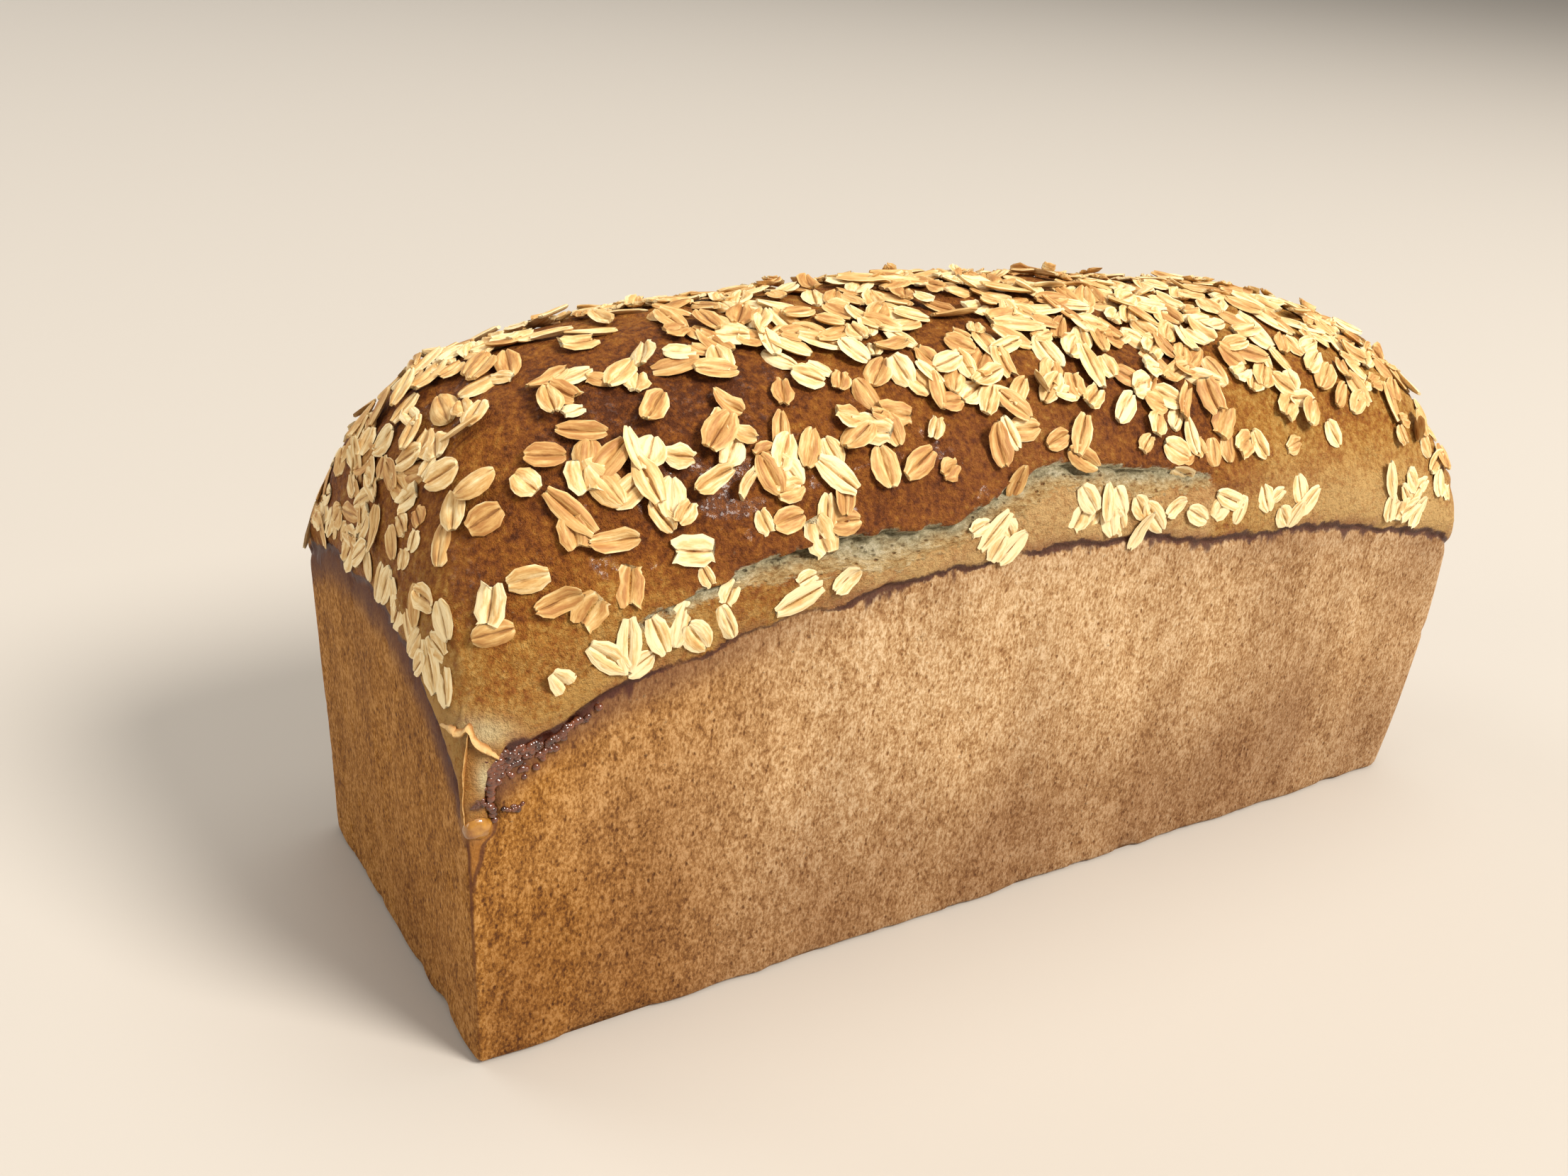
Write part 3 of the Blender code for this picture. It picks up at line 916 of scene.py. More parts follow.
# The pale tan run: real under the split, a painted highlight on the lower front towards the far end.
crown_colour = mingle(tree, times(tree, measure(tree, "tan"), 0.75), crown_colour, tan_colour)
thread = measure(tree, "thread_mm")
blush = times(tree, soft_step(tree, thread, 0.5, 5.5, 1, 0), soft_step(tree, cloud, 0.38, 0.62))
amber_share = times(tree, measure(tree, "amber"), soft_step(tree, mottle, 0.35, 0.62, 0.85, 0.35))
RUSTY, AMBER_STRIP, PALE_DOUGH = (0.290, 0.100, 0.045), (0.330, 0.125, 0.022), (0.640, 0.520, 0.290)
crown_colour = laid_over(
    tree, crown_colour, (times(tree, blush, 0.55), RUSTY), (amber_share, AMBER_STRIP),
    (measure(tree, "pale_dough"), PALE_DOUGH),
)
crown = soft_step(tree, thread, -0.5, 0.9)
colour = mingle(tree, crown, wall_colour, crown_colour)
print("crown wired")

# %% [markdown]
# The burnt thread is drawn by how far a point lies from it, with a ragged width. Where it is strong, sugar
# ran down the wall in short dark drips.

# %% The burnt thread, with drips below it
char = measure(tree, "char")
ragged = specks(tree, crown_place, 0.0016, detail=4.0)
from_thread = swayed(tree, thread, ragged, 3.0)
width = raised(tree, 0.05, char, 1.5)
off_thread = work_out(tree, "DIVIDE", work_out(tree, "ABSOLUTE", from_thread), width)
burnt = soft_step(tree, off_thread, 0.45, 1.15, 1, 0)
drips = specks(tree, object_place(tree, (1.0, 1.0, 0.16)), 0.0042, detail=3.0)
drip_reach = soft_step(tree, thread, -6.5, 0.0, 0.0, 0.24)
drip = soft_step(tree, work_out(tree, "ADD", drips, times(tree, drip_reach, char)), 0.72, 0.84)
drip = times(tree, drip, soft_step(tree, thread, -9.0, -1.0), soft_step(tree, thread, 0.4, 1.4, 1.0, 0.0))
burnt = work_out(tree, "MAXIMUM", times(tree, burnt, soft_step(tree, char, 0.08, 0.45)), drip)
syrup = measure(tree, "caramel")
drop = measure(tree, "drop")
CHARRED, BURNT_SYRUP, AMBER_DROP = (0.070, 0.017, 0.011), (0.075, 0.016, 0.008), (0.360, 0.150, 0.030)
colour = laid_over(
    tree, colour, (times(tree, burnt, 0.92), CHARRED),
    (soft_step(tree, syrup, 0.25, 0.75, 0.0, 0.92), BURNT_SYRUP),
    (soft_step(tree, drop, 0.05, 0.5, 0.0, 0.8), AMBER_DROP),
)
print("thread wired")

# %% [markdown]
# The crumb in the split is torn, not cut, so it has short strands along the split and small holes. It is
# grey-gold where it is shaded by the crust above, and warmer below, where it dried and browned.

# %% Crumb in the split
crumb_place = object_place(tree, (0.55, 1.0, 1.0))
strand, murk, holes = grain(tree, crumb_place, 0.0010, 0.006, 0.0012)
crumb_tone = swayed(tree, 0.55, strand, 2.6)
crumb_tone = swayed(tree, crumb_tone, murk, 1.1)
crumb_tone = raised(tree, crumb_tone, holes, -0.45)
shaded_crumb = shades(tree, crumb_tone, [
    (0.00, (0.130, 0.100, 0.055)),
    (0.35, (0.330, 0.285, 0.165)),
    (0.70, (0.500, 0.435, 0.270)),
    (1.00, (0.680, 0.600, 0.410)),
])
golden_crumb = shades(tree, crumb_tone, [
    (0.00, (0.260, 0.110, 0.030)),
    (0.35, (0.460, 0.270, 0.095)),
    (0.70, (0.620, 0.425, 0.190)),
    (1.00, (0.740, 0.570, 0.320)),
])
down = swayed(tree, measure(tree, "split_place"), murk, 2.4)
crumb_colour = mingle(tree, soft_step(tree, down, -1.3, 0.7), golden_crumb, shaded_crumb)
crumb = measure(tree, "crumb")
crumb = soft_step(tree, swayed(tree, crumb, strand, 1.6), 0.22, 0.72)
colour = mingle(tree, crumb, colour, crumb_colour)
feed(tree, shader.inputs["Base Color"], colour)
print("crumb wired")

# %% [markdown]
# Gloss follows the egg wash: full on the crown, none on the walls or the crumb. The grain becomes relief
# through a Bump node, with heights in millimetres. The egg wash dried over bumps of half a millimetre, which
# is what makes the crown glint.

# %% Gloss and fine relief
pimples = specks(tree, crown_place, 0.0013, detail=4.0, roughness=0.75)
gloss_patch = soft_step(tree, cloud, 0.42, 0.66, 0.25, 0.60)
gloss = work_out(tree, "MAXIMUM", gloss_patch, times(tree, measure(tree, "gloss_spot"), 0.55))
gloss = times(tree, gloss, soft_step(tree, pimples, 0.53, 0.64, 0.06, 1.0))
gloss = times(tree, gloss, crown, work_out(tree, "SUBTRACT", 1.0, crumb))
wet = work_out(tree, "MAXIMUM", times(tree, burnt, 0.35), work_out(tree, "MAXIMUM", syrup, drop))
shine = work_out(tree, "MAXIMUM", gloss, wet)
fill(tree, shader, {
    "Roughness": soft_step(tree, shine, 0.0, 1.0, 0.80, 0.40),
    "Coat Weight": times(tree, shine, 0.62),
    "Coat Roughness": 0.09,
    "Specular IOR Level": 0.22,
})
wall_height = raised(tree, times(tree, pits, -0.22), fibre, 0.50)
crown_height = raised(tree, times(tree, dots, -0.15), pimples, 1.9)
crumb_height = raised(tree, times(tree, holes, -0.8), strand, 2.2)
height = mingle(tree, crown, wall_height, crown_height, kind="FLOAT")
height = mingle(tree, crumb, height, crumb_height, kind="FLOAT")
add_relief(tree, shader, height)
crust_mesh.materials.append(crust_finish)
print(crust_finish.name, "has", len(tree.nodes), "nodes")

# %% [markdown]
# ## Rolled oats
#
# A rolled oat is a grain steamed and pressed flat: an oval about a millimetre thick, with the crease of the
# grain down its middle, split ends, and often a curl from baking. Each kind of flake is lofted here from
# seven cross sections of ten points, so that it stays light enough to lay down by the hundred.

# %% Rings of vertices into a mesh
def skin_rings(made, rings):
    """Faces between one ring of vertices and the next, with both ends closed."""
    for one, two in zip(rings, rings[1:]):
        for k in range(len(one)):
            made.faces.new((one[k], one[k - 1], two[k - 1], two[k]))
    made.faces.new(rings[0])
    made.faces.new(rings[-1][::-1])
    bmesh.ops.recalc_face_normals(made, faces=made.faces)


def mesh_from(made, name):
    """A mesh of that name from a bmesh, which is then let go."""
    mesh = bpy.data.meshes.new(name)
    made.to_mesh(mesh)
    made.free()
    return mesh


print("ready to loft")

# %% [markdown]
# The top of a flake has two lobes with the crease between them, and its underside is flat. Its ends are cut
# blunt and a little notched, and its width and ends vary by a ragged share.

# %% One flake, from its sizes
STATIONS = (-1, -0.84, -0.48, 0, 0.48, 0.84, 1)
ROUND = (-1, -0.58, -0.15, 0, 0.15, 0.58, 1, 0.6, 0, -0.6)
TOP = 7  # how many points of the round are on the flake's upper side, from edge to edge


def flake_mesh(name, length, width, seed, thick=1.2, groove=0.45, cup=0.2, bend=0.2, twist=0, blunt=0.34,
               notch=0.10, ragged=0.05):
    """Sizes are millimetres and degrees. cup lifts the long edges, bend lifts the two ends. u and v run from
    -1 to 1 along and across the flake."""
    rng = random.Random(seed)
    made = bmesh.new()
    uv = made.loops.layers.uv.new("flake")
    rings, spots = [], {}
    for u in STATIONS:
        oval = math.sqrt(max(0, 1 - abs(u) ** 2.5))
        half = width / 2 * max(blunt, oval)
        angle = math.radians(twist) * u
        sides = {-1: half * (1 + rng.uniform(-1, 1) * ragged), 1: half * (1 + rng.uniform(-1, 1) * ragged)}
        ring = []
        for k, v in enumerate(ROUND):
            y = v * sides[1 if v > 0 else -1]
            lobe = math.sin(math.pi * min(1, abs(v) * 1.25)) ** 0.5 if 0 < abs(v) < 0.8 else 0
            if k < TOP:
                z = thick * (0.30 + 0.36 * lobe) if abs(v) < 1 else thick * 0.10
                z -= groove * (1.0 if v == 0 else 0.45 if abs(v) < 0.2 else 0)
            else:
                z = -thick * 0.30
            z *= 1 - 0.35 * abs(u) ** 3
            z += cup * (y / (width / 2)) ** 2 + bend * u * u
            x = length / 2 * u
            if abs(u) == 1:
                x *= 1 - notch * max(0, 1 - abs(v) * 2.2) + rng.uniform(-0.5, 0.5) * ragged
            vert = made.verts.new((x * MM, (y * math.cos(angle) - z * math.sin(angle)) * MM,
                                   (y * math.sin(angle) + z * math.cos(angle)) * MM))
            spots[vert] = ((u + 1) / 2, (v + 1) / 2)
            ring.append(vert)
        rings.append(ring)
    skin_rings(made, rings)
    for face in made.faces:
        face.smooth = True
        for loop in face.loops:
            loop[uv].uv = spots[loop.vert]
    mesh = mesh_from(made, name)
    mesh.set_sharp_from_angle(angle=math.radians(60))
    return mesh


print("a flake has", len(ROUND) * (len(STATIONS) - 1) + 2, "faces")

# %% [markdown]
# No two flakes are alike, but a dozen kinds, each stretched a little when it is laid down, are enough to
# fool the eye. Whole ovals are the most common, so there are more of those.

# %% A dozen kinds of flake
FLAKE_SIZES = {
    "oval_a": (9.6, 6.5, {}),
    "oval_b": (9.0, 6.2, dict(groove=0.30, cup=0.35)),
    "oval_c": (10.2, 6.3, dict(groove=0.50, cup=0.10, bend=0.4, twist=5, notch=0.16)),
    "long_a": (11.6, 6.2, dict(thick=1.3, groove=0.60, blunt=0.48, notch=0.08, twist=-5)),
    "long_b": (10.8, 5.4, dict(groove=0.40, cup=0.5, bend=0.5, twist=7)),
    "round": (7.6, 6.6, dict(groove=0.20, blunt=0.50, notch=0.04)),
    "shell": (9.2, 6.3, dict(groove=0.02, cup=-0.8, bend=-0.3, notch=0, ragged=0.03)),
    "husk": (8.8, 6.0, dict(thick=1.0, groove=0.15, cup=0.9, bend=0.4)),
    "curl": (9.6, 5.4, dict(thick=1.0, groove=0.30, cup=0.7, bend=1.3, twist=18, ragged=0.14)),
    "torn": (8.2, 6.8, dict(groove=0.55, bend=0.6, blunt=0.70, notch=0.22, ragged=0.18)),
    "broken": (6.8, 5.8, dict(groove=0.45, bend=0.3, blunt=0.55, notch=0.18, ragged=0.16)),
    "stub": (5.4, 4.6, dict(groove=0.3, blunt=0.65, notch=0.12, ragged=0.16)),
}
FLAKE_KINDS = [
    flake_mesh("flake_" + name, length, width, seed, **details)
    for seed, (name, (length, width, details)) in enumerate(FLAKE_SIZES.items(), start=1)
]
flake_shelf = bpy.data.collections.new("flake kinds")
for kind in FLAKE_KINDS:
    flake_shelf.objects.link(bpy.data.objects.new(kind.name, kind))
print(len(FLAKE_KINDS), "kinds of flake")

# %% [markdown]
# ## The oats' finish
#
# Oats toast from cream to gold. The crease is a thin dark line, with fainter ones beside it, and the broken
# ends stay floury and pale. The finish follows each flake's own UV map, so the crease lies where the
# flake's fold is. How toasted a flake is comes from a number that the scattering stores on it.

# %% Cream to gold, with a crease
oat_finish, tree, shader = new_finish("toasted oat")
where = place_node(tree, "ShaderNodeUVMap", uv_map="flake").outputs[0]
lengthwise, crosswise = place_node(tree, "ShaderNodeSeparateXYZ", {0: where}).outputs[:2]
toast = measure(tree, "toast")
own_place = triple(tree, times(tree, lengthwise, 1.3), times(tree, crosswise, 5.0), times(tree, toast, 173.0))
streak = specks(tree, own_place, 1.0, detail=3.0, roughness=0.6)
oat_fibre, oat_patch, _ = grain(tree, object_place(tree), 0.0011, 0.0040, 0.0013)
off_middle = work_out(tree, "SUBTRACT", crosswise, 0.5)
from_crease = work_out(tree, "ABSOLUTE", swayed(tree, off_middle, oat_patch, 0.12))
crease_line = soft_step(tree, from_crease, 0.010, 0.065, 1.0, 0.0)
ends = soft_step(tree, work_out(tree, "ABSOLUTE", work_out(tree, "SUBTRACT", lengthwise, 0.5)), 0.34, 0.5)
rims = soft_step(tree, work_out(tree, "ABSOLUTE", off_middle), 0.36, 0.5)
oat_tone = swayed(tree, toast, streak, 2.3)
oat_tone = swayed(tree, oat_tone, oat_fibre, 0.35)
oat_tone = raised(tree, oat_tone, work_out(tree, "MAXIMUM", ends, rims), -0.25)
oat_colour = shades(tree, oat_tone, [
    (0.00, (0.860, 0.695, 0.400)),
    (0.30, (0.720, 0.495, 0.215)),
    (0.60, (0.585, 0.335, 0.110)),
    (1.00, (0.400, 0.175, 0.045)),
])
lines = times(tree, crease_line, soft_step(tree, streak, 0.38, 0.62, 0.10, 0.75))
lines = times(tree, lines, soft_step(tree, ends, 0.5, 1.0, 1.0, 0.3))
CREASE = (0.360, 0.185, 0.070)
oat_colour = laid_over(tree, oat_colour, (lines, CREASE))
fill(tree, shader, {"Base Color": oat_colour, "Roughness": 0.58, "Specular IOR Level": 0.35})
oat_height = raised(tree, times(tree, lines, -0.25), streak, 0.45)
oat_height = raised(tree, oat_height, oat_fibre, 0.10)
add_relief(tree, shader, oat_height)
print(oat_finish.name, "has", len(tree.nodes), "nodes")

# %% [markdown]
# ## Throwing the oats
#
# Hundreds of flakes could be placed by a loop, but scattering over a surface is what Geometry Nodes are for.
# The tree spreads points by the stored density, turns each point's flake flat to the crust, tips some of
# them up, and picks a kind for each. Snug flakes turn less, are flatter and sink a little. At the end the
# instances are made real, because only real mesh is exported.

# %% Numbers for each flake
def number_input(group, name, kind, default):
    made = group.interface.new_socket(name, in_out="INPUT", socket_type=kind)
    if default is not None:
        made.default_value = default
    return made.identifier


def named_number(group, name):
    made = place_node(group, "GeometryNodeInputNamedAttribute", {"Name": name}, data_type="FLOAT")
    return made.outputs["Attribute"]


# What differs from flake to flake, in radians, metres or shares: the least, the most, and its own seed.
VARIETY = {
    "spin": (-math.pi, math.pi, 11),
    "luck": (0, 1, 12),
    "roll": (-0.20, 0.20, 13),
    "tip": (-1.1, 1.1, 14),
    "pitch": (-0.14, 0.14, 15),
    "kind": (0, len(FLAKE_KINDS) - 0.001, 16),
    "length": (0.72, 1.10, 17),
    "width": (0.78, 1.10, 18),
    "height": (0.0, 0.0009, 19),
    "toast": (0.08, 0.85, 20),
}


def varied(group, name):
    """A random number for each flake, from the table."""
    low, high, seed = VARIETY[name]
    made = place_node(group, "FunctionNodeRandomValue", data_type="FLOAT")
    sockets = {s.name: s for s in made.inputs if s.enabled}
    feed(group, sockets["Min"], low)
    feed(group, sockets["Max"], high)
    feed(group, sockets["Seed"], seed)
    return next(s for s in made.outputs if s.enabled)


def turned(group, rotation, angles):
    """Turns a rotation further, about its own axes."""
    inputs = {0: rotation, 1: angles}
    return place_node(group, "FunctionNodeRotateRotation", inputs, rotation_space="LOCAL").outputs[0]


def aligned(group, rotation, axis, direction, pivot="AUTO"):
    """Turns a rotation so that one of its axes lies along a direction."""
    inputs = {"Rotation": rotation, "Vector": direction}
    kind = "FunctionNodeAlignRotationToVector"
    return place_node(group, kind, inputs, axis=axis, pivot_axis=pivot).outputs[0]


print("flakes vary in", list(VARIETY))

# %% [markdown]
# The tree takes the crust in and gives the oats out. What a maker may want to change has a named socket: how
# dense, how near one another, how many stand tipped, how high, the seed, the kinds and the finish.

# %% The scattering tree
POINTS_PER_M2 = 200000.0  # tried on the crust before the nearest distance thins them
TIPPED_LIFT = 0.0014
SNUG_SINK = 0.0005


def make_scatter_group():
    group = bpy.data.node_groups.new("throw oats", "GeometryNodeTree")
    group.interface.new_socket("Crust", in_out="INPUT", socket_type="NodeSocketGeometry")
    group.interface.new_socket("Oats", in_out="OUTPUT", socket_type="NodeSocketGeometry")
    keys = {}
    for name, kind, default in (
        ("Density Share", "NodeSocketFloat", 1.0), ("Nearest", "NodeSocketFloat", 0.0038),
        ("Tipped Share", "NodeSocketFloat", 0.09), ("Lift", "NodeSocketFloat", 0.0003),
        ("Seed", "NodeSocketInt", 1), ("Kinds", "NodeSocketCollection", None),
        ("Finish", "NodeSocketMaterial", None),
    ):
        keys[name] = number_input(group, name, kind, default)
    given = place_node(group, "NodeGroupInput").outputs
    spread = place_node(group, "GeometryNodeDistributePointsOnFaces", {
        "Mesh": given["Crust"],
        "Distance Min": given["Nearest"],
        "Density Max": times(group, given["Density Share"], POINTS_PER_M2),
        "Density Factor": work_out(group, "DIVIDE", named_number(group, "oats_per_cm2"), MOST_OATS),
        "Seed": given["Seed"],
    }, distribute_method="POISSON")

    # Each flake lies flat with its length uphill, then spins, unless it stands in the row, and tips.
    flat = aligned(group, (0, 0, 0), "Z", spread.outputs["Normal"])
    upslope = aligned(group, flat, "X", (0, 0, 1), pivot="Z")
    freedom = raised(group, 1.0, named_number(group, "upright"), -0.80)
    spin = times(group, varied(group, "spin"), freedom)
    loose = work_out(group, "SUBTRACT", 1.0, named_number(group, "snug"))
    tipped = times(group, given["Tipped Share"], loose)
    tipped = work_out(group, "LESS_THAN", varied(group, "luck"), tipped)
    roll = times(group, varied(group, "roll"), raised(group, 0.3, loose, 0.7))
    steep = times(group, tipped, varied(group, "tip"))
    pitch = times(group, varied(group, "pitch"), raised(group, 0.2, loose, 0.8))
    rotation = turned(group, upslope, triple(group, 0.0, 0.0, spin))
    rotation = turned(group, rotation, triple(group, work_out(group, "ADD", roll, steep), pitch, 0.0))

    # A kind is picked from the shelf and laid on the point.
    shelf = place_node(group, "GeometryNodeCollectionInfo", {
        "Collection": given["Kinds"],
        "Separate Children": True,
        "Reset Children": True,
    }, transform_space="ORIGINAL")
    flatness = raised(group, 0.6, loose, 0.4)
    laid = place_node(group, "GeometryNodeInstanceOnPoints", {
        "Points": spread.outputs["Points"],
        "Instance": shelf.outputs[0],
        "Pick Instance": True,
        "Instance Index": work_out(group, "FLOOR", varied(group, "kind")),
        "Rotation": rotation,
        "Scale": triple(group, varied(group, "length"), varied(group, "width"), flatness),
    })

    # Tipped flakes stand higher, others overlap by chance, and snug ones sink. How toasted it is goes along.
    stacked = raised(group, given["Lift"], tipped, TIPPED_LIFT)
    stacked = raised(group, stacked, varied(group, "height"), loose)
    stacked = raised(group, stacked, named_number(group, "snug"), -SNUG_SINK)
    lifted = place_node(group, "GeometryNodeTranslateInstances", {
        "Instances": laid.outputs[0],
        "Translation": triple(group, 0.0, 0.0, stacked),
        "Local Space": True,
    })
    toasted = place_node(group, "GeometryNodeStoreNamedAttribute", {
        "Geometry": lifted.outputs[0],
        "Name": "toast",
    }, data_type="FLOAT", domain="INSTANCE")
    darker = raised(group, 1.0, named_number(group, "floury"), -0.75)
    toast = times(group, varied(group, "toast"), darker)
    feed(group, next(s for s in toasted.inputs if s.name == "Value" and s.enabled), toast)
    real = place_node(group, "GeometryNodeRealizeInstances", {0: toasted.outputs[0]})
    inputs = {"Geometry": real.outputs[0], "Material": given["Finish"]}
    finished = place_node(group, "GeometryNodeSetMaterial", inputs)
    place_node(group, "NodeGroupOutput", {0: finished.outputs[0]})
    return group, keys


scatter_group, scatter_keys = make_scatter_group()
print("the scattering tree has", len(scatter_group.nodes), "nodes")


# %% [markdown]
# The tree runs on a throwaway copy of the crust, so that the crust keeps no modifier. What comes out is made
# into a plain mesh, and only that stays in the scene.

# %% Oats on the crown
def throw_oats(name, ground, seed, **settings):
    """Scatters flakes over a mesh with the tree, and returns them as one plain mesh object."""
    carrier = add_to_scene(name, ground.copy())
    modifier = carrier.modifiers.new("throw", "NODES")
    modifier.node_group = scatter_group
    settings = {"Kinds": flake_shelf, "Finish": oat_finish, "Seed": seed, **settings}
    for title, value in settings.items():
        modifier[scatter_keys[title]] = value
    bpy.context.view_layer.update()
    evaluated = carrier.evaluated_get(bpy.context.evaluated_depsgraph_get())
    mesh = bpy.data.meshes.new_from_object(evaluated)
    carrier.modifiers.clear()
    bpy.data.objects.remove(carrier)
    return add_to_scene(name, mesh)


oats = throw_oats("oat_flakes", crust_mesh, seed=4)
oats_triangles = sum(len(face.vertices) - 2 for face in oats.data.polygons)
flake_count = len(oats.data.vertices) // (len(STATIONS) * len(ROUND))
print(flake_count, "flakes,", oats_triangles, "triangles")

# %% [markdown]
# ## The torn lip at the near corner
#
# Where the dough was pinched, the baked skin tore into a thin lip that runs round the corner and peaks at the
# edge, like a small tent. It is too thin for the skin's own mesh, so it is a strip of its own: a wedge swept
# along a smooth line through a few named places, thin at its free edge and buried at its root.

# %% A line held to the skin
def smooth_line(places, count):
    """Evenly numbered points on a smooth line through the named places."""
    places = np.array(places)
    steps = np.arange(len(places))
    at = np.linspace(0, len(places) - 1, count)
    return np.stack([smooth_through(at, steps, places[:, axis]) for axis in range(3)], axis=1)


OFF_CENTRE = Vector((*shift, 0))


def held_to_skin(line, least, most):
    """The line moved so that every place on it stands off the skin by no less and no more than that."""
    held = []
    for spot in line:
        place = Vector(spot) - OFF_CENTRE
        _, nearest, normal, _ = crust.closest_point_on_mesh(place)
        height = min(max((place - nearest).dot(normal), least), most)
        held.append(nearest + normal * height + OFF_CENTRE)
    return held


print("places are given", [round(part / MM, 2) for part in OFF_CENTRE[:2]], "mm off the scene's middle")

# %% [markdown]
# The section of the wedge has six corners, and it gets slimmer towards both ends of the line. A little noise
# makes its free edge wavy. How near a corner is to that edge is stored for the finish.

# %% Sweep the lip
INSIDE = (-0.130, -0.031)  # the place on the plan that the lip's root points to


def swept_lip(places, reach, thick, count=40):
    """A wedge along the places: its free edge on the line, its root that far inside the loaf."""
    line = held_to_skin(smooth_line(places, count), 0.0004, 0.0012)
    taper = np.sin(np.linspace(0, 1, count) * math.pi) ** 0.35
    made = bmesh.new()
    edge = made.verts.layers.float.new("free_edge")
    rings = []
    for spot, slim in zip(line, taper):
        inward = Vector((INSIDE[0] - spot[0], INSIDE[1] - spot[1], 0)).normalized()
        wave = noise.noise(Vector(spot) / 0.0016) * 0.00035
        half = thick * (0.35 + 0.65 * slim) / 2
        ring = []
        for depth, lift in ((-0.4 * half, 0), (0.3 * half, half), (reach * 0.5, half * 1.5),
                            (reach, half * 1.5), (reach, -half), (0.4 * half, -half)):
            ring.append(made.verts.new(Vector(spot) + inward * (depth - wave) + Vector((0, 0, lift + wave))))
        rings.append(ring)
    skin_rings(made, rings)
    for ring in rings:
        for vert, share in zip(ring, (1, 1, 0.35, 0, 0, 0.6)):
            vert[edge] = share
    return made


print("ready to sweep")

# %% [markdown]
# The lip runs from the near end, over its peak, to the front. A lower ridge runs from the peak down the
# edge of the pinched strip.

# %% The lip and its ridge
LIP = (
    (-0.1485, -0.0405, 0.0790), (-0.1491, -0.0440, 0.0797), (-0.1495, -0.0480, 0.0806),
    (-0.1492, -0.0509, 0.0824), (-0.1480, -0.0518, 0.0803), (-0.1462, -0.0519, 0.0788),
    (-0.1440, -0.0515, 0.0775), (-0.1416, -0.0507, 0.0755),
)
RIDGE = (
    (-0.1489, -0.0507, 0.0824), (-0.1489, -0.0507, 0.0800), (-0.1488, -0.0505, 0.0765),
    (-0.1486, -0.0503, 0.0720), (-0.1484, -0.0501, 0.0670), (-0.1482, -0.0500, 0.0610),
)
joined = swept_lip(LIP, 0.0022, 0.0012)
ridge_mesh = mesh_from(swept_lip(RIDGE, 0.0018, 0.0008), "ridge")
joined.from_mesh(ridge_mesh)
bpy.data.meshes.remove(ridge_mesh)
lip_mesh = mesh_from(joined, "torn_lip")
lip_mesh.shade_smooth()
lip_mesh.set_sharp_from_angle(angle=math.radians(70))
lip_mesh.transform(Matrix.Translation(-OFF_CENTRE))
lip = add_to_scene("torn_lip", lip_mesh)
print("the torn lip has", len(lip_mesh.polygons), "faces")

# %% [markdown]
# The lip is thin enough to have dried pale at its free edge, and that pale edge also stands for a painted
# highlight where the edge catches the light. It is amber where syrup soaked its root. A number on its
# vertices says which is which.

# %% Pale at the free edge, amber at the root
lip_finish, tree, shader = new_finish("torn skin")
lip_grain, _, _ = grain(tree, object_place(tree), 0.0011, 0.0040, 0.0020)
lip_tone = swayed(tree, measure(tree, "free_edge"), lip_grain, 1.2)
lip_colour = shades(tree, lip_tone, [
    (0.00, (0.230, 0.080, 0.016)),
    (0.45, (0.420, 0.190, 0.045)),
    (1.00, (0.640, 0.400, 0.150)),
])
fill(tree, shader, {"Base Color": lip_colour, "Roughness": 0.5})
add_relief(tree, shader, times(tree, lip_grain, 0.3))
lip_mesh.materials.append(lip_finish)
print("lip finished")

# %% [markdown]
# ## Burnt syrup
#
# Sugary juice boiled out of the seam, burnt, and set in glossy beads: in the crevice, along the start of the
# rim and in two small bubbly patches, with one clear amber drop at the bottom. Beads have round tops that
# catch the light, so they are small lumpy balls, crowded and half sunk into the crust.

# %% One bead
def front_wall(x, z, out=0.0):
    """The place on the front wall at that x and height, standing out by that much."""
    return Vector((x, -(HALF_WIDTH + SIDE_LEAN * z) - out, z))


def add_bead(made, spot, sizes, seed, smooth=2):
    grown = bmesh.ops.create_icosphere(made, subdivisions=smooth, radius=1.0)
    for vert in grown["verts"]:
        swell = 1 + 0.25 * noise.noise(vert.co * 1.4 + Vector((seed * 3.7, 0, 0)))
        vert.co = spot + Vector([part * size * swell for part, size in zip(vert.co, sizes)])


print("ready to lay beads")

# %% [markdown]
# The beads are strewn about a line up the crevice and along the rim, most of them where the line turns, and
# they spill downwards. A fixed seed makes the run come out the same each time.

# %% Beads along the run, and in patches
# Along the run of syrup: the place on the wall, its height, and how wide the beads spread in millimetres.
SYRUP_RUN = np.array((
    (-0.1421, 0.0612, 0.2), (-0.1427, 0.0634, 0.3), (-0.1432, 0.0665, 0.3), (-0.1430, 0.0700, 0.4),
    (-0.1426, 0.0734, 1.3), (-0.1417, 0.0752, 2.8), (-0.1395, 0.0768, 3.6), (-0.1366, 0.0770, 3.0),
    (-0.1323, 0.0764, 1.8), (-0.1294, 0.0776, 0.9), (-0.1265, 0.0796, 0.5), (-0.1235, 0.0800, 0.3),
    (-0.1197, 0.0830, 0.2),
))
# Small patches beside the run: middle, height, width and tallness in millimetres, and number of beads.
SYRUP_PATCHES = ((-0.1457, 0.0662, 1.5, 1.0, 34), (-0.1382, 0.0632, 1.5, 0.8, 26))
BEADS_IN_RUN = 260
syrup_rng = random.Random(12)
syrup_bmesh = bmesh.new()


def lay_bead(spot, size, seed):
    add_bead(syrup_bmesh, spot, (size, size * 0.8, size * 0.9), seed)


